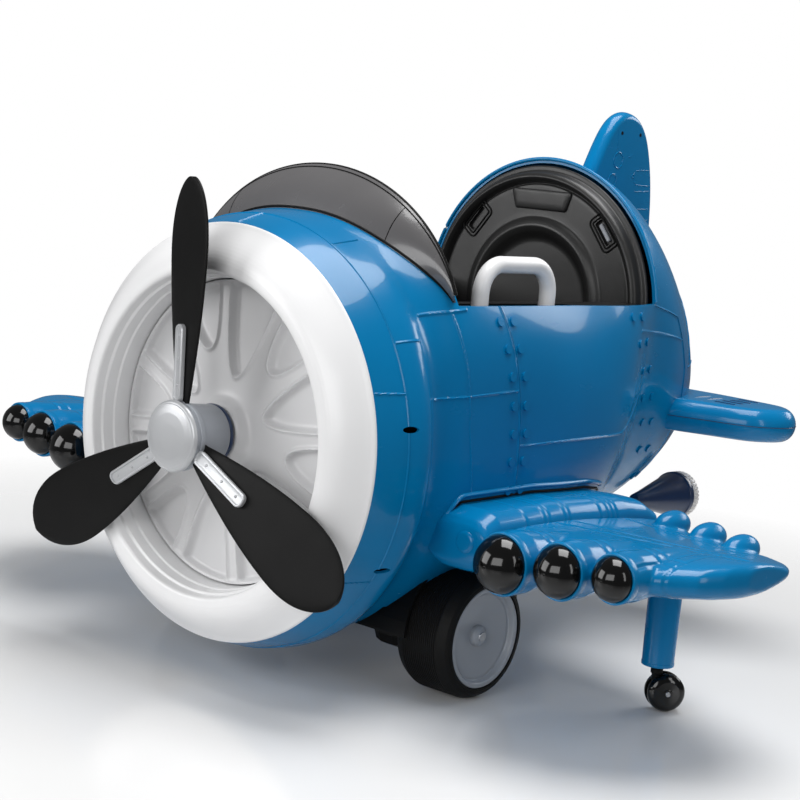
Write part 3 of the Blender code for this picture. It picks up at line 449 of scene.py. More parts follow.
def carved_hull(name, start, end, grooves, close_end=False):
    """One fuselage section with panel grooves sunk into a locally refined mesh.

    grooves is a list of (line, half width in mm, depth in mm).
    """
    cell = 8.0 * MM / R
    spokes = 176
    count = max(2, round((end - start) / cell))
    bm = bmesh.new()
    rows = [[bm.verts.new((2 * math.pi * (k / spokes - 0.5), start + (end - start) * j / count, 0))
             for k in range(spokes + 1)] for j in range(count + 1)]
    for row, following in zip(rows, rows[1:]):
        for i in range(spokes):
            bm.faces.new((row[i], row[i + 1], following[i + 1], following[i]))
    lines = [line for line, _, _ in grooves]
    for level in range(3):
        reach = cell / 2**level * 0.9 + 3.0 * MM / R
        faces = list(bm.faces)
        middles = np.array([f.calc_center_median()[:2] for f in faces])
        middles[:, 0] = np.abs(middles[:, 0])
        near = distance_to_lines(middles, lines) < reach if lines else np.zeros(len(faces), bool)
        edges = list({e for f, close in zip(faces, near) if close for e in f.edges})
        if edges:
            bmesh.ops.subdivide_edges(bm, edges=edges, cuts=1, use_grid_fill=True)
    flat = np.array([v.co[:2] for v in bm.verts])
    points = hull_points(flat[:, 0], flat[:, 1])
    normals = hull_normals(flat[:, 0], flat[:, 1])
    folded = np.column_stack((np.abs(flat[:, 0]), flat[:, 1]))
    sink = np.zeros(len(flat))
    for line, half_mm, depth_mm in grooves:
        d = distance_to_lines(folded, [line]) * R / (half_mm * MM)
        sink = np.maximum(sink, depth_mm * MM * np.clip(1 - d**2, 0, None) ** 2)
    points = points - normals * sink[:, None]
    for v, p in zip(bm.verts, points):
        v.co = p
    bmesh.ops.remove_doubles(bm, verts=bm.verts, dist=1e-5)
    if close_end:
        rim = [e for e in bm.edges if e.is_boundary and e.verts[0].co.y > place(0, end - 0.01, 0).y]
        bmesh.ops.contextual_create(bm, geom=rim)
    bmesh.ops.recalc_face_normals(bm, faces=bm.faces)
    obj = new_object(name, bm)
    step = obj.modifiers.new("wall", "SOLIDIFY")
    step.thickness, step.offset = SKIN_MM * MM, -1.0
    return bake(obj)


# ---------------------------------------------------------------- camera, light and floor
VIEW_AZIMUTH = math.radians(40.59)
VIEW_ELEVATION = math.radians(7.52)
VIEW_ROLL = math.radians(5.29)
VIEW_TARGET = Vector((0.0, -0.0917, 0.3106))
VIEW_DISTANCE = 2.309
LENS_MM, SENSOR_MM = 82.03, 36.0
AMBIENT, BACKDROP = 0.13, 1.0
FLOOR_SIZE = 3.0
FLOOR_FADE = (0.55, 1.25)    # where the floor starts and ends fading into the backdrop
FLOOR_SHADE = 0.8


def aimed(location, target, roll=0.0):
    """A matrix that stands at a location and looks at a target."""
    back = (Vector(location) - Vector(target)).normalized()
    right = Vector((0, 0, 1)).cross(back).normalized()
    up = back.cross(right)
    c, s = math.cos(roll), math.sin(roll)
    columns = (c * right + s * up, c * up - s * right, back)
    turn = Matrix(columns).transposed().to_4x4()
    return Matrix.Translation(location) @ turn


def build_camera():
    bpy.context.scene.view_settings.view_transform = "Standard"
    data = bpy.data.cameras.new("camera")
    data.lens, data.sensor_width = LENS_MM, SENSOR_MM
    camera = bpy.data.objects.new("camera", data)
    bpy.context.scene.collection.objects.link(camera)
    flat = math.cos(VIEW_ELEVATION)
    away = Vector((math.sin(VIEW_AZIMUTH) * flat, -math.cos(VIEW_AZIMUTH) * flat, math.sin(VIEW_ELEVATION)))
    camera.matrix_world = aimed(VIEW_TARGET + VIEW_DISTANCE * away, VIEW_TARGET, VIEW_ROLL)
    bpy.context.scene.camera = camera


def softbox(name, location, size, power, target=(0, 0, 0.35)):
    data = bpy.data.lights.new(name, "AREA")
    data.shape = "RECTANGLE"
    data.size, data.size_y = size
    data.energy = power
    lamp = bpy.data.objects.new(name, data)
    bpy.context.scene.collection.objects.link(lamp)
    lamp.matrix_world = aimed(location, target)


def build_studio():
    world = bpy.data.worlds.new("studio")
    bpy.context.scene.world = world
    world.use_nodes = True
    tree = world.node_tree
    ambient = tree.nodes["Background"]
    ambient.inputs["Color"].default_value = (0.97, 0.98, 1.0, 1.0)
    ambient.inputs["Strength"].default_value = AMBIENT
    backdrop = node(tree, "ShaderNodeBackground", Color=(1.0, 1.0, 1.0, 1.0), Strength=BACKDROP)
    chosen = node(tree, "ShaderNodeMixShader")
    tree.links.new(node(tree, "ShaderNodeLightPath").outputs["Is Camera Ray"], chosen.inputs[0])
    tree.links.new(ambient.outputs[0], chosen.inputs[1])
    tree.links.new(backdrop.outputs[0], chosen.inputs[2])
    tree.links.new(chosen.outputs[0], tree.nodes["World Output"].inputs["Surface"])

    softbox("overhead", (0.3, 0.2, 3.0), (2.2, 1.6), 96.0)
    softbox("key_left", (-2.0, -3.0, 1.4), (2.0, 2.0), 66.0)
    softbox("fill_front", (1.0, -3.5, 1.2), (2.2, 1.6), 48.0)
    softbox("strip_right", (3.0, -0.6, 1.3), (0.5, 1.8), 12.0)
    softbox("rear", (0.9, 3.2, 1.9), (2.0, 0.9), 30.0)

    bm = bmesh.new()
    bmesh.ops.create_grid(bm, x_segments=2, y_segments=2, size=FLOOR_SIZE)
    floor = new_object("floor", bm)
    material = bpy.data.materials.new("floor")
    material.use_nodes = True
    tree = material.node_tree
    shader = tree.nodes["Principled BSDF"]
    shader.inputs["Base Color"].default_value = (FLOOR_SHADE, FLOOR_SHADE, FLOOR_SHADE, 1.0)
    shader.inputs["Roughness"].default_value = 0.16
    coords = node(tree, "ShaderNodeTexCoord").outputs["Object"]
    reach = node(tree, "ShaderNodeVectorMath", operation="LENGTH")
    tree.links.new(coords, reach.inputs[0])
    tree.links.new(ramp(tree, reach.outputs["Value"], *FLOOR_FADE, 1.0, 0.0), shader.inputs["Alpha"])
    floor.data.materials.append(material)
    floor.location.z = CAD_BOUNDS[0][2] - 0.5 * MM


def dress_cad_nodes():
    """Every CAD node that stays visible gets its finish."""
    for name, obj in frame["nodes"].items():
        obj.data.materials.clear()
        obj.data.materials.append(MATERIALS[SLOT_OF[name]])


# ---------------------------------------------------------------- fuselage
def seam_block(seam, ahead):
    """Everything ahead of or behind a seam, with half the gap on its own side."""
    edge = (1 if ahead else -1) * GAP_MM * MM / R / 2
    far = -1.0 if ahead else 5.0
    line = [(seam[0][0], 3.5), *seam, (seam[-1][0], -0.5)]
    outline = [(y + edge, z + edge) for y, z in line] + [(far, -0.5), (far, 3.5)]
    rows = [[place(x, y, z) for y, z in outline] for x in (-1.5, 1.5)]
    return grid_mesh("seam_block", rows, closed_u=True, cap=True)


def build_fuselage():
    join = (1.3, 1.2)
    gap = GAP_MM * MM / R
    front_lip = (side_line(*FRONT_SEAM, (1.06, 0.3)), 2.4, 1.4)
    rear_lip = (side_line(*REAR_SEAM, (2.96, 0.8)), 2.2, 1.2)
    cowl = [
        (round_line(0.17), 1.6, 1.2),
        (side_line((0.4, 1.83), (0.66, 1.864)), 2.2, 1.6),
        (side_line((0.572, 1.848), (0.625, 1.602), (0.659, 1.312), (0.727, 0.975)), *join),
        (side_line((0.414, 1.458), (0.685, 1.47), (1.01, 1.483)), *join),
        (side_line((0.012, 1.5), (0.17, 1.5)), *join),
        (side_line((0.012, 0.62), (0.17, 0.62)), *join),
        ([(0.0, 0.012), (0.0, 0.17)], *join),
        ([(0.45, 0.17), (0.45, 0.33)], *join),
        ([(1.02, 0.17), (1.02, 0.33)], *join),
        front_lip,
    ]
    middle = [
        front_lip, rear_lip,
        (side_line((1.048, 1.214), (1.46, 1.22), (2.006, 1.216), (2.264, 1.338), (2.39, 1.47)), *join),
        (side_line((2.172, 1.747), (2.505, 1.72), (2.701, 1.692), (2.833, 1.668)), 1.9, 1.3),
    ]
    rear = [
        rear_lip,
        (side_line((3.02, 1.5), (3.2, 1.52), (3.42, 1.5)), *join),
        (side_line((3.06, 2.02), (3.05, 1.75), (3.06, 1.52)), *join),
    ]
    front = carved_hull("front_fuselage_visual", gap, 1.16, cowl)
    main = carved_hull("main_fuselage_visual", 0.86, 3.0, middle)
    tail = carved_hull("tail_fuselage_visual", 2.34, 3.66, rear, close_end=True)

    def cockpit():
        return block("cockpit_cutter", (-1.3, COCKPIT_FRONT, SILL_Z), (1.3, SEAM_REAR + 0.03, 3.0))

    def wells():
        return [block("well_cutter", (low, 0.54, -0.1), (low + 1.0, 1.225, 0.4)) for low in (0.3, -1.3)]

    slots = []
    slot_outline = ((0.0, 0.05), (0.024, 0.05), (0.024, -0.05), (0.0, -0.05))
    for y, z in COWL_SLOTS:
        for side in (1, -1):
            slot = turned("cowl_slot", slot_outline, (0, 0, 0), "+Z", 24, 0.0)
            slot.data.transform(Matrix.Translation(-place(0, 0, 0)))
            slot.data.transform(Matrix.Diagonal((1.9, 0.62, 1.0, 1.0)))
            slot.data.transform(hull_frame(y, z, side))
            slots.append(slot)
    front_cutters = [cockpit(), *wells(), seam_block(FRONT_SEAM, ahead=False), *slots]
    stand_in(cut_by(front, front_cutters), "front_fuselage")
    main_cutters = [cockpit(), *wells(), seam_block(FRONT_SEAM, ahead=True),
                    seam_block(REAR_SEAM, ahead=False)]
    stand_in(cut_by(main, main_cutters), "main_fuselage")
    stand_in(cut_by(tail, [seam_block(REAR_SEAM, ahead=True)]), "tail_fuselage")


# ---------------------------------------------------------------- nose
PETALS = 12
PETAL_START = math.radians(82.0)    # direction of the first long petal, from +X towards +Z
PETAL_END = 0.7
LONG_PETAL = (0.285, 0.152, 0.6)    # distance of the apex from the axis, half width, power of the curve
SHORT_PETAL = (0.425, 0.116, 0.5)
PETAL_DEPTH, PETAL_LIP = 0.03, 0.016
COLLAR_RADIUS, COLLAR_STEP = 0.158, 0.062


def petal_distance(r, angle, centre, apex, width, power):
    """Signed distance to a U-shaped petal that opens at the rim; negative inside."""
    turn = (angle - centre + math.pi) % (2 * math.pi) - math.pi
    along, across = (r * np.cos(turn)).ravel(), np.abs(r * np.sin(turn)).ravel()
    share = np.linspace(0.0, 1.0, 15) ** 2 * 1.15
    side = np.column_stack((apex + (PETAL_END - apex) * share, width * share**power))
    distance = distance_to_lines(np.column_stack((along, across)), [side])
    inside = across < width * np.clip((along - apex) / (PETAL_END - apex), 0, None) ** power
    return np.where(inside, -distance, distance).reshape(r.shape)


def rosette_height(r, angle):
    """Front surface of the rosette: a collared dish with sunk petals in raised lips."""
    collar = 0.03 - COLLAR_STEP / (1 + np.exp(-(r - COLLAR_RADIUS) / 0.01))
    dish = collar - 0.035 * np.clip((r - 0.19) / 0.51, 0, 1)
    nearest = np.full_like(r, 1.0)
    for k in range(PETALS):
        centre = PETAL_START - 2 * math.pi * k / PETALS
        shape = SHORT_PETAL if k % 2 else LONG_PETAL
        nearest = np.minimum(nearest, petal_distance(r, angle, centre, *shape))
    sunk = 1 / (1 + np.exp(np.clip(nearest / 0.0065, -30, 30)))
    lip = np.exp(-((nearest - 0.012) / 0.011) ** 2)
    rim = 1 / (1 + np.exp(-(r - 0.708) / 0.004))
    return dish + (PETAL_LIP * lip - PETAL_DEPTH * sunk) * (1 - rim) + 0.006 * rim


def build_rosette():
    radii = np.concatenate(([0.052], np.linspace(0.06, 0.7, 150), np.linspace(0.703, 0.729, 10)))
    angles = np.linspace(0, 2 * math.pi, 721)[:-1]
    grid_r, grid_a = np.meshgrid(radii, angles, indexing="ij")
    heights = rosette_height(grid_r, grid_a)
    rows = [[place(r * math.cos(a), -h, PROP_Z + r * math.sin(a)) for r, a, h in zip(*row)]
            for row in zip(grid_r, grid_a, heights)]
    for r, h in ((0.729, -0.124), (0.052, -0.124)):
        rows.append([place(r * math.cos(a), -h, PROP_Z + r * math.sin(a)) for a in angles])
    disc = grid_mesh("rosette_visual", rows, closed_u=True, closed_v=True)
    stand_in(disc, "rosette_disc", angle=50)


def build_nose():
    ring = [(1.0, -0.003), (0.9985, 0.006)]
    for k in range(1, 13):
        t = k / 12
        ring.append((0.9985 - 0.1985 * t, 0.006 + 0.136 * math.sin(t * math.pi / 2) ** 1.15))
    ring += [(0.785, 0.1425), (0.7755, 0.139), (0.7695, 0.13), (0.765, 0.092), (0.752, 0.086),
             (0.748, 0.03), (0.7395, 0.024), (0.7345, -0.104), (0.752, -0.104), (0.79, 0.112),
             (0.895, 0.066), (0.98, -0.003)]
    stand_in(turned("nose_ring_visual", ring, (0, 0, PROP_Z), "-Y", 192, 0.004), "nose_ring", angle=40)
    build_rosette()


# ---------------------------------------------------------------- propeller
BLADE_PLANE_Y = -0.245
BLADE_DIRECTIONS = (92.7, 212.7, 332.7)
BLADE_PITCH = math.radians(-16.5)
BLADE_TIP = 1.2
BLADE_CAMBER = 0.1


def blade_frame(degrees):
    turn = Matrix.Rotation(math.radians(90 - degrees), 4, "Y") @ Matrix.Rotation(BLADE_PITCH, 4, "Z")
    return Matrix.Translation(place(0, BLADE_PLANE_Y, PROP_Z)) @ turn


def blade_half_width(r):
    root = 0.15
    t = (max(r, root) - root) / (BLADE_TIP - root)
    swell = 0.056 + 0.134 * math.sin(math.pi * min(t, 1.0) ** 0.95 * 0.62)
    return swell * max(0.0, 1.0 - max(0.0, (t - 0.62) / 0.38) ** 2.6) ** 0.5


def build_blade(number, degrees):
    stand = blade_frame(degrees)
    inner = [0.12 + 0.86 * k / 48 for k in range(48)]
    outer = [0.98 + (BLADE_TIP - 0.9805) * math.sin(math.pi / 2 * k / 24) for k in range(25)]
    rows = []
    for r in inner + outer:
        half = max(blade_half_width(r), 0.004)
        thick = min(0.0135, half)
        row = []
        for k in range(32):
            a = 2 * math.pi * k / 32
            c, s = math.cos(a), math.sin(a)
            x = math.copysign(abs(c) ** 0.45, c) * half
            face = math.copysign(abs(s) ** 0.55, s) * thick * (1.0 - 0.25 * (x / half) ** 2)
            y = face + BLADE_CAMBER * (half**2 - x**2)
            row.append(stand @ Vector((R * x, R * y, R * r)))
        rows.append(row)
    stand_in(grid_mesh(f"blade_{number}_visual", rows, closed_u=True, cap=True), f"blade_{number}", angle=60)


def rounded_box_loop(width, height, corner, steps=6):
    """Points round a rounded rectangle centred on the origin."""
    corner = min(corner, width / 2 - 1e-5, height / 2 - 1e-5)
    loop = []
    for quarter, (sx, sy) in enumerate(((1, 1), (-1, 1), (-1, -1), (1, -1))):
        for k in range(steps + 1):
            a = math.pi / 2 * (quarter + k / steps)
            loop.append((sx * (width / 2 - corner) + corner * math.cos(a),
                         sy * (height / 2 - corner) + corner * math.sin(a)))
    return loop


def stepped_panel(name, width, height, corner, levels, stand):
    """A rounded-rectangle pad built from (inset, height) levels, bottom first."""
    rows = []
    for inset, lift in levels:
        loop = rounded_box_loop(width - 2 * inset, height - 2 * inset, max(corner - inset, 0.002))
        rows.append([stand @ Vector((R * x, R * y, R * lift)) for x, y in loop])
    return grid_mesh(name, rows, closed_u=True, cap=True)


def screw_head(name, stand, radius=0.011):
    """A small domed screw head with a cross recess, along the frame's Z."""
    profile = [(0.0, 0.72), (0.34, 0.67), (0.64, 0.52), (0.86, 0.29), (1.0, 0.0), (1.0, -0.4), (0.0, -0.4)]
    head = turned(name, [(r * radius, h * radius) for r, h in profile], None, None, 20, 0.0, stand)
    for turn in (0, math.pi / 2):
        bm = bmesh.new()
        bmesh.ops.create_cube(bm, size=1.0)
        size = Matrix.Diagonal((R * radius * 1.1, R * radius * 0.26, R * radius * 0.5, 1))
        lift = Matrix.Translation((0, 0, R * radius * 0.74))
        bmesh.ops.transform(bm, matrix=stand @ lift @ Matrix.Rotation(turn, 4, "Z") @ size, verts=bm.verts)
        cut_by(head, [new_object(name + "_slot", bm)])
    return head


def build_clamp(number, degrees):
    low, high, width = 0.155, 0.52, 0.07
    stand = (blade_frame(degrees) @ Matrix.Translation((0, -R * 0.015, R * (low + high) / 2))
             @ Matrix.Rotation(math.pi / 2, 4, "X"))
    levels = ((0.0, 0.002), (0.0, 0.019), (0.004, 0.0245), (0.009, 0.0245), (0.013, 0.0185), (0.016, 0.0175))
    bar = stepped_panel(f"clamp_{number}", width, high - low, 0.03, levels, stand)
    screws = [screw_head(f"clamp_screw_{number}", stand @ Matrix.Translation((0, R * y, R * 0.017)), 0.008)
              for y in (-0.1, 0.02, 0.13)]
    stand_in(merged(f"blade_clamp_{number}_visual", [bar, *screws]), f"blade_clamp_{number}")


def build_propeller():
    axis = (0, 0, PROP_Z)
    cap = ((0.0, 0.33), (0.06, 0.3292), (0.11, 0.3262), (0.14, 0.3205), (0.15, 0.316), (0.156, 0.3172),
           (0.164, 0.312), (0.1695, 0.302), (0.1695, 0.2965), (0.0, 0.2965))
    stand_in(turned("hub_cap_visual", cap, axis, "-Y", 128, 0.005), "hub_cap")
    hub = ((0.0, 0.2955), (0.164, 0.2955), (0.164, 0.276), (0.159, 0.2735), (0.159, 0.2685),
           (0.1655, 0.266), (0.1655, 0.244), (0.16, 0.241), (0.154, 0.236), (0.15, 0.218),
           (0.14, 0.064), (0.03, 0.064), (0.03, -0.24), (0.0, -0.24))
    stand_in(turned("prop_hub_visual", hub, axis, "-Y", 128, 0.003), "prop_hub", finish="hub_grey")
    base = ((0.1, 0.063), (0.1415, 0.063), (0.143, 0.059), (0.143, 0.046), (0.1, 0.046))
    detail(turned("hub_base_ring", base, axis, "-Y", 96, 0.003), "prop_hub", "dark_blue")
    for number, degrees in enumerate(BLADE_DIRECTIONS, 1):
        build_blade(number, degrees)
        build_clamp(number, degrees)


# ---------------------------------------------------------------- windshield and rivets
def build_windshield():
    rim_y, rim_z, rim_half, rim_rise, spread = 0.575, 1.65, 0.95, 0.82, math.radians(70.0)
    foot_half = 0.865

    def surface(angle, t, lift=0.0):
        share = math.sin(angle) / math.sin(spread)
        foot_y = 0.4 + 0.205 * abs(share) ** 3
        half, widest, top, _, upper, _ = (float(v) for v in hull_values(foot_y))
        across = min(abs(foot_half * share) / half, 0.999)
        skin_z = widest + (top - widest) * (1 - across**upper) ** (1 / upper)
        foot = place(foot_half * share, foot_y, skin_z - 0.006)
        rim = place(rim_half * math.sin(angle), rim_y, rim_z + rim_rise * math.cos(angle))
        bow = place(0, 0.5, 0) - place(0, 0.5 + 0.016 * math.sin(math.pi * t), -0.012 * math.sin(math.pi * t))
        point = foot.lerp(rim, t) + bow
        return point + Vector((0, -R * lift, R * lift * 0.3))

    angles = [-spread + 2 * spread * k / 96 for k in range(97)]
    rows = [[surface(a, t / 12) for a in angles] for t in range(13)]
    shield = grid_mesh("windshield_visual", rows)
    wall = shield.modifiers.new("wall", "SOLIDIFY")
    wall.thickness, wall.offset = 3.0 * MM, 0.0
    stand_in(bake(shield), "windshield")
    edge = tube("rim_bead", [surface(a, 1.0) for a in angles], 2.1 * MM)
    line = tube("rim_line", [surface(a, 0.925, 0.007) for a in angles], 0.9 * MM, steps=6)
    foot = tube("foot_bead", [surface(a, 0.045, 0.006) for a in angles], 1.6 * MM, steps=8)
    folds = [tube("fold", [surface(a, 0.06 + 0.86 * k / 12, 0.0055) for k in range(13)], 0.7 * MM, steps=6)
             for a in (-0.62, 0.62)]
    detail(merged("windshield_rim", [edge, line, foot, *folds]), "windshield", "black_matt")


def hull_frame(y, z, side=1):
    """A frame that stands on the hull's side with its Z axis outward."""
    angle = side * port_angle(y, z)
    origin = Vector(hull_points(np.array(angle), np.array(y)))
    outward = Vector(hull_normals(np.array(angle), np.array(y)))
    across = Vector((0, 0, 1)).cross(outward).normalized()
    turn = Matrix((across, outward.cross(across), outward)).transposed().to_4x4()
    return Matrix.Translation(origin) @ turn


# Rivet pairs along the two seams, seen from the side: distances behind the nose, height.
FRONT_RIVETS = ((0.892, 0.995, 1.809), (0.927, 1.021, 1.683), (0.955, 1.053, 1.551), (0.976, 1.07, 1.41),
                (0.99, 1.086, 1.274), (0.994, 1.089, 1.138), (1.002, 1.098, 0.997))
REAR_RIVETS = ((2.06, 2.177, 1.822), (2.15, 2.3, 1.68), (2.302, 2.44, 1.522), (2.43, 2.544, 1.361),
               (2.526, 2.625, 1.212), (2.621, 2.717, 1.042), (2.76, 2.85, 0.862))
RIVET_RADIUS = 0.0235


def build_rivets():
    """Pairs of screw heads down both sides of the body, along each riveted seam."""
    for name, rows in (("front", FRONT_RIVETS), ("rear", REAR_RIVETS)):
        heads = {"front_fuselage": [], "main_fuselage": []}
        for side in (-1, 1):
            for ahead, behind, z in rows:
                first_host = "front_fuselage" if name == "front" else "main_fuselage"
                for y, host in ((ahead, first_host), (behind, "main_fuselage")):
                    heads[host].append(screw_head("rivet", hull_frame(y, z, side), RIVET_RADIUS))
        for host, group in heads.items():
            if group:
                detail(merged(f"rivets_{name}_{host[:5]}", group), host, "blue")


# ---------------------------------------------------------------- seat and levers
SEAT_Z = 1.812
SEAT_Y = 2.388


def seat_point(x, z, lift):
    return place(x, SEAT_Y - lift, SEAT_Z + z)


def build_seat_back():
    profile = ((0.0, 0.016), (0.33, 0.016), (0.352, 0.022), (0.385, 0.054), (0.42, 0.068), (0.45, 0.054),
               (0.47, 0.037), (0.52, 0.037), (0.63, 0.038), (0.648, 0.036), (0.656, 0.026), (0.661, 0.03),
               (0.67, 0.058), (0.692, 0.076), (0.714, 0.058), (0.722, 0.03), (0.727, 0.014), (0.756, 0.011),
               (0.758, -0.009), (0.0, -0.009))
    body = turned("seat_back_visual", profile, (0, SEAT_Y, SEAT_Z), "-Y", 160, 0.01)
    slots, frames = [], []
    for side in (-1, 1):
        stand = Matrix.Translation(seat_point(side * 0.446, 0.42, 0.0)) @ TURNS["-Y"]
        stand = stand @ Matrix.Rotation(side * math.radians(38.0), 4, "Z")
        slots.append(stepped_panel("belt_slot", 0.052, 0.15, 0.012, ((0.0, 0.016), (0.0, 0.1)), stand))
        for inset, lift in ((0.0, 0.039), (0.02, 0.038)):
            loop = rounded_box_loop(0.112 - 2 * inset, 0.21 - 2 * inset, 0.03 - inset)
            path = [stand @ Vector((R * x, R * y, R * lift)) for x, y in loop]
            frames.append(tube("slot_frame", path, 1.3 * MM, True, 8, normal=(0, 1, 0)))
        if side > 0:
            levels = ((0.0, 0.017), (0.0, 0.03), (0.004, 0.034))
            buckle = stepped_panel("belt_buckle", 0.024, 0.11, 0.006, levels, stand)
            detail(buckle, "seat_back", "wheel_grey")
    stand_in(cut_by(body, slots), "seat_back", finish="soft_black")
    detail(merged("belt_slot_frames", frames), "seat_back", "black_matt")

    span, low, high = math.radians(38), 0.53, 0.65
    rows = []
    for inset, lift in ((0.0, 0.032), (0.0, 0.045), (0.003, 0.05), (0.008, 0.0525), (0.03, 0.0545)):
        row = []
        for u, v in rounded_box_loop(span - 4 * inset, high - low - 2 * inset, 0.024):
            wave = 0.012 * math.cos(u / span * math.pi) * (0.5 - v / (high - low))
            radius = (low + high) / 2 + v + wave
            row.append(seat_point(radius * math.sin(u), radius * math.cos(u), lift))
        rows.append(row)
    stand_in(grid_mesh("head_pad_visual", rows, closed_u=True, cap=True), "head_pad", finish="soft_black")

    rim = []
    for k in range(97):
        angle = (k / 48 - 1) * port_angle(SEAM_REAR, SILL_Z + 0.01)
        at, out = np.array(angle), np.array(SEAM_REAR)
        rim.append(Vector(hull_points(at, out)) - Vector(hull_normals(at, out)) * (1.6 * MM))
    detail(tube("hood_rim", rim, 2.6 * MM, steps=12), "tail_fuselage", "blue")


def build_levers():
    x, y, low, top, reach = 0.785, 1.158, 1.42, 2.07, 0.2675
    corner = 0.14
    for side, suffix, axis in SIDES:
        loop = rounded_box_loop(2 * reach, top - low, corner, steps=14)
        path = [place(side * x, y + u, (low + top) / 2 + v) for u, v in loop]
        grip = tube("grip", path, R * 0.042, closed=True, steps=28, normal=(1, 0, 0))
        solids = [grip]
        for width, radius, inner in ((0.2, 0.035, 0.675), (0.016, 0.058, 0.74)):
            outline = ((0.0, width), (radius, width), (radius, 0.0), (0.0, 0.0))
            solids.append(turned("pin", outline, (side * inner, y, low), axis, 32, 0.004))
        stand_in(merged(f"drive_lever_{suffix}_visual", solids), f"drive_lever_{suffix}")


# ---------------------------------------------------------------- tail
def smooth_outline(points, steps=12):
    """A smooth closed curve through the points (Catmull-Rom)."""
    count = len(points)
    result = []
    for i in range(count):
        a, b, c, d = (Vector(points[(i + k) % count]) for k in (-1, 0, 1, 2))
        for k in range(steps):
            t = k / steps
            result.append(tuple(0.5 * (2 * b + (c - a) * t + (2 * a - 5 * b + 4 * c - d) * t**2
                                       + (3 * b - a - 3 * c + d) * t**3)))
    return result


def inset_outline(outline, inset):
    """The outline moved inward along its normals."""
    area = sum(a[0] * b[1] - b[0] * a[1] for a, b in zip(outline, outline[1:] + outline[:1]))
    turn = 1 if area > 0 else -1
    count = len(outline)
    result = []
    for i, (x, y) in enumerate(outline):
        (xa, ya), (xb, yb) = outline[i - 1], outline[(i + 1) % count]
        length = math.hypot(xb - xa, yb - ya) or 1.0
        result.append((x - turn * (yb - ya) / length * inset, y + turn * (xb - xa) / length * inset))
    return result


def pillow_plate(name, outline, half_thick, edge, to_world, levels=10):
    """A plate with a full round edge: to_world takes (u, v, height)."""
    rows = []
    for k in range(-levels, levels + 1):
        a = math.pi / 2 * k / levels
        inset, lift = edge * (1 - math.cos(a)), half_thick * math.sin(a)
        rows.append([to_world(u, v, lift) for u, v in inset_outline(outline, inset)])
    return grid_mesh(name, rows, closed_u=True, cap=True)


def build_fin():
    outline = smooth_outline(((2.62, 2.2), (2.7, 2.46), (2.78, 2.64), (2.88, 2.81), (2.97, 2.895),
                              (3.07, 2.9225), (3.19, 2.89), (3.29, 2.78), (3.365, 2.58), (3.405, 2.35),
                              (3.42, 2.05), (3.38, 1.82), (3.1, 1.75), (2.8, 1.9)))
    fin = pillow_plate("fin_body", outline, 0.055, 0.045, lambda u, v, h: place(h, u, v))
    stand_in(fin, "tail_fin", angle=50)
    face = 0.0545
    circles = ((2.982, 2.64, 0.046), (2.94, 2.52, 0.038), (3.151, 2.556, 0.01))
    creases = (
        ((3.312, 2.598), (3.185, 2.59), (3.165, 2.572), (3.17, 2.522), (3.19, 2.506), (3.325, 2.504)),
        ((3.33, 2.473), (3.183, 2.466)),
        ((3.345, 2.367), (3.203, 2.361)),
        ((3.35, 2.299), (3.215, 2.295)),
        ((3.08, 2.664), (3.104, 2.668), (3.126, 2.683)),
        ((2.95, 2.82), (2.958, 2.78), (2.964, 2.7)),
    )
    # The fin's two holes are flat black discs flush with its faces: painted shade where the holes are, not
    # real openings.
    painted_hole_shade_outline = ((0.0, 0.002), (0.01, 0.002), (0.013, -0.004), (0.0, -0.004))
    for side, suffix, axis in SIDES:
        lines = []
        for y, z, radius in circles:
            path = [place(side * face, y + radius * math.cos(a), z + radius * math.sin(a))
                    for a in np.linspace(0, 2 * math.pi, 33)[:-1]]
            lines.append(tube("line", path, 0.9 * MM, True, 6))
        for corners in creases:
            path = [place(side * face, y, z) for y, z in corners]
            lines.append(tube("line", path, 0.55 * MM, False, 6))
        detail(merged(f"fin_lines_{suffix}", lines), "tail_fin", "blue")
        painted_hole_shades = [turned("hole", painted_hole_shade_outline, (side * face, y, z), axis, 20, 0.0)
                 for y, z in ((2.995, 2.798), (3.185, 2.799))]
        detail(merged(f"fin_holes_{suffix}", painted_hole_shades), "tail_fin", "black_matt")


def build_tailplane():
    outline = smooth_outline(((0.38, 2.74), (0.66, 2.79), (0.9, 2.86), (1.13, 2.93), (1.235, 3.04),
                              (1.278, 3.18), (1.235, 3.3), (1.12, 3.385), (0.9, 3.42), (0.6, 3.44),
                              (0.36, 3.4), (0.3, 3.1)))
    level, half_thick = 1.24, 0.094

    def to_world(x, y, height):
        return place(x, y, level + height)

    plane = pillow_plate("tailplane_left_visual", outline, half_thick, 0.082, to_world)
    stand_in_pair(plane, "tailplane_left", angle=50)
    seam = [p for p in inset_outline(outline, 0.0005) if p[0] > 0.42]
    start = max(range(len(seam)), key=lambda i: math.dist(seam[i - 1], seam[i]))
    seam = seam[start:] + seam[:start]
    parts = [tube("parting", [place(u, v, level) for u, v in seam], 0.6 * MM, steps=6)]
    for x in (0.72, 0.8):
        section = [place(x, 2.835 + 0.58 * (0.5 - 0.5 * math.cos(a)), level + 0.0942 * math.sin(a) ** 0.55)
                   for a in np.linspace(0.12, math.pi - 0.12, 30)]
        parts.append(tube("collar", section, 0.7 * MM, steps=6))
    for k in range(4):
        y = 3.02 + 0.085 * k
        slot = [(0.93 + u, y + v) for u, v in rounded_box_loop(0.13, 0.022, 0.01)]
        parts.append(tube("slot", [to_world(u, v, half_thick) for u, v in slot], 0.6 * MM, True, 6))
    detail_pair(merged("tailplane_lines_left", parts), "tailplane_left", "dark_blue")


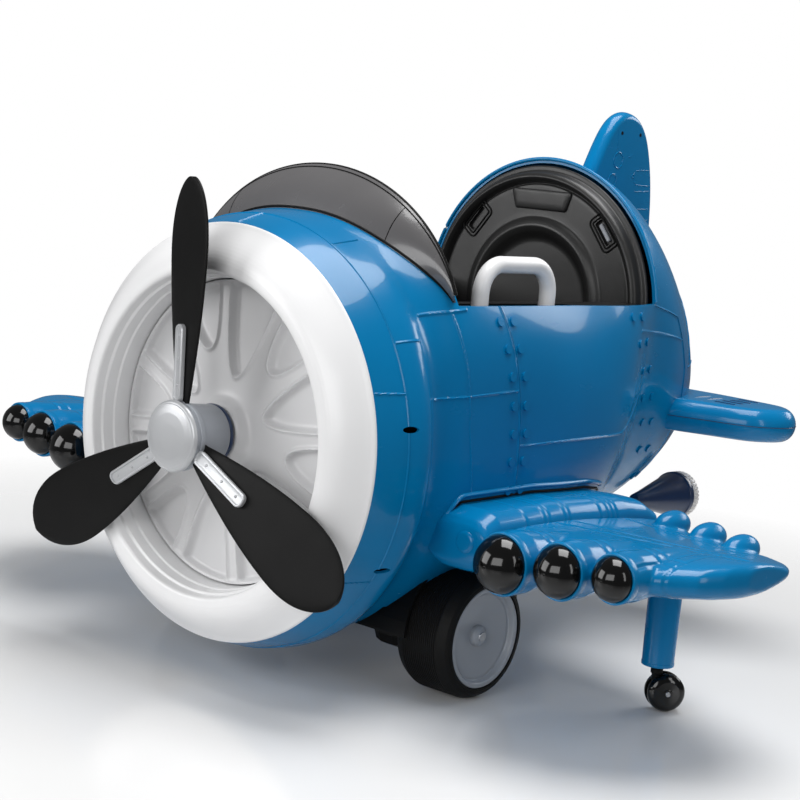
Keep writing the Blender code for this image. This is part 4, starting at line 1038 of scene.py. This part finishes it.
def build_exhausts():
    centre = (0.46, 3.16, 0.69)
    cone = ((0.0, 0.24), (0.036, 0.24), (0.052, 0.16), (0.12, -0.12), (0.131, -0.165), (0.138, -0.17),
            (0.138, -0.199), (0.0, -0.199))
    stand_in_pair(turned("exhaust_left_visual", cone, centre, "-Y", 96, 0.004), "exhaust_left")
    steps, tooth_depth, rows = 288, 0.0065, []
    # Radius and height of each ring of the lens, and whether it is toothed.
    lens_rings = (
        (0.02, -0.204, 0), (0.118, -0.204, 0), (0.133, -0.205, 1), (0.1375, -0.212, 1), (0.1375, -0.252, 1),
        (0.13, -0.264, 1), (0.112, -0.272, 0), (0.108, -0.268, 0), (0.06, -0.276, 0), (0.002, -0.279, 0))
    for radius, height, toothed in lens_rings:
        row = []
        for k in range(steps):
            a = 2 * math.pi * k / steps
            reach = radius - tooth_depth * toothed * (1.0 if k % 8 < 3 else 0.0)
            x, z = centre[0] + reach * math.cos(a), centre[2] + reach * math.sin(a)
            row.append(place(x, centre[1] - height, z))
        rows.append(row)
    lens = grid_mesh("exhaust_lens_left_visual", rows, closed_u=True, cap=True)
    stand_in_pair(lens, "exhaust_lens_left")


# ---------------------------------------------------------------- wings
# Wing sections: span position, leading edge, trailing edge, height, thickness.
WING = np.array((
    (1.24, 0.48, 1.96, 0.8, 0.215),
    (1.474, 0.43, 1.8, 0.815, 0.215),
    (1.762, 0.44, 1.67, 0.83, 0.215),
    (2.027, 0.46, 1.54, 0.845, 0.21),
    (2.2, 0.52, 1.44, 0.86, 0.2),
    (2.32, 0.62, 1.35, 0.868, 0.186),
    (2.385, 0.74, 1.27, 0.874, 0.172),
    (2.4185, 0.86, 1.2, 0.878, 0.13),
))
NACELLES = ((1.491, 0.335, 0.815, 0.131), (1.782, 0.361, 0.843, 0.117), (2.041, 0.394, 0.864, 0.099))
TAIL_DOMES = ((1.472, 1.745, 0.86), (1.758, 1.615, 0.869), (2.022, 1.475, 0.878))
TAIL_DOME_RADIUS = 0.072
DOME_BULGE = 0.92
VOXEL_MM = 2.2


def wing_section(x, count=96):
    lead, trail, height, thick = (float(np.interp(x, WING[:, 0], WING[:, c])) for c in (1, 2, 3, 4))
    ring = []
    for k in range(count):
        a = 2 * math.pi * k / count
        along = 0.5 - 0.5 * math.cos(a)
        bulk = abs(math.sin(a)) ** 0.8 * (1.0 - 0.55 * along)
        z = height + math.copysign(thick * bulk * 0.56, math.sin(a))
        ring.append(place(x, lead + (trail - lead) * along, z))
    return ring


def remeshed(obj, smoothing):
    """One skin round overlapping solids, with its creases blended as blow moulding leaves them."""
    skin = obj.modifiers.new("skin", "REMESH")
    skin.mode, skin.voxel_size, skin.use_smooth_shade = "VOXEL", VOXEL_MM * MM, True
    blend = obj.modifiers.new("blend", "SMOOTH")
    blend.factor, blend.iterations = 0.5, smoothing
    return bake(obj)


def engrave(obj, depth_at):
    """Sink each vertex along its normal by depth_at(points, normals), in multiples of R."""
    mesh = obj.data
    count = len(mesh.vertices)
    points, normals = np.empty(count * 3), np.empty(count * 3)
    mesh.vertices.foreach_get("co", points)
    mesh.vertices.foreach_get("normal", normals)
    points, normals = points.reshape(-1, 3), normals.reshape(-1, 3)
    local = points / R - np.array((0.0, NOSE_Y, DATUM))
    moved = points - normals * (R * depth_at(local, normals))[:, None]
    mesh.vertices.foreach_set("co", moved.ravel())
    mesh.update()
    return obj


def notch(distance, half_mm, depth_mm):
    """Groove depth at a distance from its middle line, all in multiples of R."""
    share = distance * R / (half_mm * MM)
    return depth_mm * MM / R * np.clip(1 - share**2, 0, None) ** 2


def wing_grooves(points, normals):
    x, y = points[:, 0], points[:, 1]
    top = np.clip(normals[:, 2] * 4 - 1.0, 0, 1)
    flat = points[:, :2]
    spines = [[(1.26, 1.02), (1.7, 0.98), (2.1, 0.95), (2.34, 0.96)],
              [(1.26, 1.16), (1.7, 1.08), (2.1, 1.01), (2.34, 0.98)],
              [(1.26, 1.62), (1.6, 1.46), (2.0, 1.28), (2.24, 1.14)]]
    depth = notch(distance_to_lines(flat, spines), 2.8, 1.6) * top
    for seam in (2.13, 2.205):
        depth = np.maximum(depth, notch(np.abs(x - seam), 2.4, 1.5) * (y > 0.1))
    for cx, front, cz, radius in NACELLES:
        around = np.hypot(x - cx, points[:, 2] - cz)
        for step, share in ((0.03, 1.0), (0.062, 0.8)):
            arc = notch(np.abs(y - front - 0.15 - step * 2.2), 3.0, 1.8 * share)
            depth = np.maximum(depth, arc * (around < radius + 0.075) * (normals[:, 2] > -0.3))
    return depth


def build_wing():
    stations = np.concatenate((np.linspace(WING[0, 0], 2.2, 30), np.linspace(2.23, WING[-1, 0], 10)))
    pieces = [grid_mesh("wing_skin", [wing_section(x) for x in stations], closed_u=True, cap=True)]
    for x, y, z, radius in NACELLES:
        socket = radius + 0.01
        pod = ((0.0, 0.004), (socket - 0.004, 0.004), (socket, 0.0), (socket + 0.004, -0.1), (0.09, -0.5),
               (0.0, -0.58))
        pieces.append(turned("pod", pod, (x, y, z), "-Y", 64, 0.0))
    for x, y, z in TAIL_DOMES:
        dome = [(TAIL_DOME_RADIUS * math.sin(a), (0.15 if a < math.pi / 2 else 0.105) * math.cos(a))
                for a in np.linspace(0, math.pi, 19)]
        dome[0], dome[-1] = (0.0, 0.15), (0.0, -0.105)
        pieces.append(turned("tail_dome", dome, (x, y, z), "-Y", 48, 0.0))
    wing = remeshed(merged("wing_left_visual", pieces), 5)
    stand_in_pair(engrave(wing, wing_grooves), "wing_left", angle=0)

    for number, (x, y, z, radius) in enumerate(NACELLES, 1):
        arc = [(radius * math.cos(a) ** 1.12, radius * DOME_BULGE * math.sin(a) + 0.006)
               for a in np.linspace(math.pi / 2 - 0.03, 0, 25)]
        profile = [(0.0, radius * DOME_BULGE + 0.005), *arc, (radius, 0.004), (0.0, 0.004)]
        dome = turned(f"nacelle_dome_left_{number}_visual", profile, (x, y, z), "-Y", 96, 0.0)
        stand_in_pair(dome, f"nacelle_dome_left_{number}")
        lip = [(radius + out, h) for out, h in ((0.0015, 0.01), (0.008, 0.012), (0.0125, 0.006),
                                                (0.0125, -0.03), (0.0015, -0.03))]
        bezel = turned(f"nacelle_lip_left_{number}", lip, (x, y, z), "-Y", 96, 0.003)
        detail_pair(bezel, "wing_left", "blue")


ROOT_ROWS = np.array((
    (0.54, 0.11, 0.8), (0.57, 0.165, 0.8), (0.66, 0.205, 0.805), (1.2, 0.205, 0.815),
    (1.7, 0.19, 0.805), (1.88, 0.15, 0.805), (1.96, 0.08, 0.81)))
ROOT_BANDS = (0.86, 1.0, 1.04, 1.16, 1.2, 1.46, 1.52, 1.56, 1.6)


def root_height(y):
    """How tall the wing root is at a distance y, and the height of its middle."""
    return tuple(float(np.interp(y, ROOT_ROWS[:, 0], ROOT_ROWS[:, column])) for column in (1, 2))


def build_wing_root():
    rows = []
    stations = np.concatenate((np.linspace(0.54, 0.66, 12)[:-1], np.linspace(0.66, 1.86, 190),
                               np.linspace(1.87, 1.96, 8)))
    for y in stations:
        tall, z = root_height(y)
        band = max(math.exp(-((y - b) / 0.006) ** 2) for b in ROOT_BANDS)
        row = []
        for k in range(80):
            a = 2 * math.pi * (k + 0.5) / 80
            c, s = math.cos(a), math.sin(a)
            swell = 1.0 - 0.03 * band
            x = 1.055 + math.copysign(abs(c) ** 0.6, c) * 0.178 * swell
            row.append(place(x, y, z + math.copysign(abs(s) ** 0.7, s) * tall * 0.75 * swell))
        rows.append(row)
    left = grid_mesh("wing_root_left_visual", rows, closed_u=True, cap=True)
    stand_in_pair(left, "wing_root_left", angle=60)

    cap = ((0.0, 0.02), (0.04, 0.019), (0.052, 0.012), (0.056, 0.0), (0.062, -0.004), (0.062, -0.03),
           (0.0, -0.03))
    boss = turned("root_cap_left", cap, (1.112, 0.548, 0.815), "-Y", 64, 0.004)
    detail_pair(boss, "wing_root_left", "blue")

    # The black bead along the top of the root is painted shade in the gap between the wing root and the
    # fuselage; the blue bead above it is the root's flange.
    beads = (("root_gap_painted_shade", 0.01, 1.7, 1.0, "black_matt"), ("root_flange", 0.042, 4.2, 0.7, "blue"))
    for name, lift, radius, flat, finish in beads:
        path = []
        for y in np.linspace(0.555, 1.9, 60):
            tall, z = root_height(y)
            high = z + tall * 0.73 + lift - 0.1 * max(0.0, (0.66 - y) / 0.11) ** 2
            path.append(hull_frame(float(y), high).translation)
        line = tube(f"{name}_left", path, radius * MM, steps=12, flat=flat)
        detail_pair(line, "main_fuselage", finish)


# ---------------------------------------------------------------- running gear
WHEEL_Y = 0.882
WHEEL_R = 0.31
WHEEL_IN = 0.7
WHEEL_OUT = 1.03
RIB_DEPTH = 0.0045


def build_wheels():
    width = WHEEL_OUT - WHEEL_IN
    tread = []
    low, high, ribs = 0.064, width - 0.064, 17
    for k in range(ribs):
        at = high + (low - high) * k / (ribs - 1)
        tread += [(WHEEL_R, at + 0.0042), (WHEEL_R, at - 0.002),
                  (WHEEL_R - RIB_DEPTH, at - 0.0034), (WHEEL_R - RIB_DEPTH, at - 0.0062)]
    tyre = [(0.252, width), (0.262, width), (0.268, width - 0.003), (0.274, width - 0.003),
            (0.288, width - 0.015), (0.302, width - 0.04), (0.3085, width - 0.056), *tread[:-2],
            (0.3085, 0.056), (0.302, 0.04), (0.288, 0.015), (0.266, 0.0), (0.226, 0.0),
            (0.226, width - 0.03), (0.252, width - 0.03)]
    edge = 0.25
    rim = ((0.034, width - 0.06), (0.07, width - 0.06), (0.082, width - 0.058), (0.204, width - 0.034),
           (0.214, width - 0.036), (0.219, width - 0.03), (0.223, width - 0.01), (0.229, width - 0.004),
           (0.246, width - 0.003), (edge, width - 0.008), (edge, width - 0.0275), (0.222, width - 0.0275),
           (0.222, 0.012), (0.034, 0.012))
    cap = ((0.0, width - 0.022), (0.022, width - 0.024), (0.04, width - 0.031), (0.05, width - 0.042),
           (0.053, width - 0.062), (0.0, width - 0.062))
    for side, suffix, axis in SIDES:
        centre = (side * WHEEL_IN, WHEEL_Y, WHEEL_R - DATUM)
        stand_in(turned(f"tyre_{suffix}_visual", tyre, centre, axis, 160, 0.0012), f"tyre_{suffix}", angle=50)
        stand_in(turned(f"rim_{suffix}_visual", rim, centre, axis, 128, 0.004), f"rim_{suffix}")
        detail(turned(f"wheel_cap_{suffix}", cap, centre, axis, 64, 0.004), f"rim_{suffix}", "wheel_grey")


CASTER_X, CASTER_Y = 1.6, 1.53
CASTER_HUB_Z = 0.074
CASTER_TRAIL = 0.05


def build_struts():
    profile = ((0.0, 0.8), (0.086, 0.8), (0.079, 0.225), (0.081, 0.2235), (0.081, 0.206), (0.034, 0.206),
               (0.034, 0.335), (0.0, 0.335))
    left = turned("strut_left_visual", profile, (CASTER_X, CASTER_Y, 0), "+Z", 96, 0.004)
    stand_in_pair(left, "strut_left")


def build_caster(suffix, centre, degrees):
    """A swivelling stem with a hood plate between two glossy discs on one axle."""
    hub_z = CASTER_HUB_Z
    pivot = Matrix.Translation(place(*centre, 0)) @ Matrix.Rotation(math.radians(degrees), 4, "Z")
    trail = Matrix.Translation((R * CASTER_TRAIL, 0, R * hub_z))
    across = pivot @ trail @ Matrix.Rotation(-math.pi / 2, 4, "X")

    def on_axle(name, outline, steps, radius):
        return turned(name, outline, None, None, steps, radius, across)

    stem = ((0.0, 0.304), (0.0275, 0.304), (0.0275, 0.188), (0.0305, 0.186), (0.0305, 0.166), (0.0235, 0.16),
            (0.0235, hub_z), (0.0, hub_z))
    post = turned("stem", stem, (*centre, 0), "+Z", 48, 0.003)
    plate = ((0.017, 0.0135), (0.085, 0.0135), (0.085, -0.0135), (0.017, -0.0135))
    hood = on_axle("hood", plate, 64, 0.002)
    stand_in(merged(f"caster_fork_{suffix}_visual", [post, hood]), f"caster_fork_{suffix}")

    face = ((0.0, 0.062), (0.02, 0.062), (0.024, 0.0605), (0.06, 0.0595), (0.072, 0.056), (0.084, 0.05),
            (0.0915, 0.04), (0.094, 0.029), (0.094, 0.0195), (0.0135, 0.0185), (0.0, 0.0185))
    cap = ((0.0, 0.066), (0.01, 0.0655), (0.0135, 0.061), (0.0, 0.06))
    discs = [on_axle("disc", [(r, side * h) for r, h in face], 96, 0.002) for side in (1, -1)]
    axle = on_axle("axle", ((0.0, 0.03), (0.013, 0.03), (0.013, -0.03), (0.0, -0.03)), 32, 0.0)
    stand_in(merged(f"caster_wheel_{suffix}_visual", [*discs, axle]), f"caster_wheel_{suffix}", angle=50)
    caps = [on_axle("cap", [(r, side * h) for r, h in cap], 32, 0.001) for side in (1, -1)]
    detail(merged(f"caster_caps_{suffix}", caps), f"caster_wheel_{suffix}", "steel")


def build_casters():
    build_caster("left", (CASTER_X, CASTER_Y), 50.0)
    build_caster("right", (-CASTER_X, CASTER_Y), 130.0)
    build_caster("rear", (0.0, 2.3), 90.0)


build_camera()
build_studio()
dress_cad_nodes()
build_fuselage()
build_nose()
build_propeller()
build_windshield()
build_rivets()
build_seat_back()
build_levers()
build_fin()
build_tailplane()
build_exhausts()
build_wing()
build_wing_root()
build_wheels()
build_struts()
build_casters()
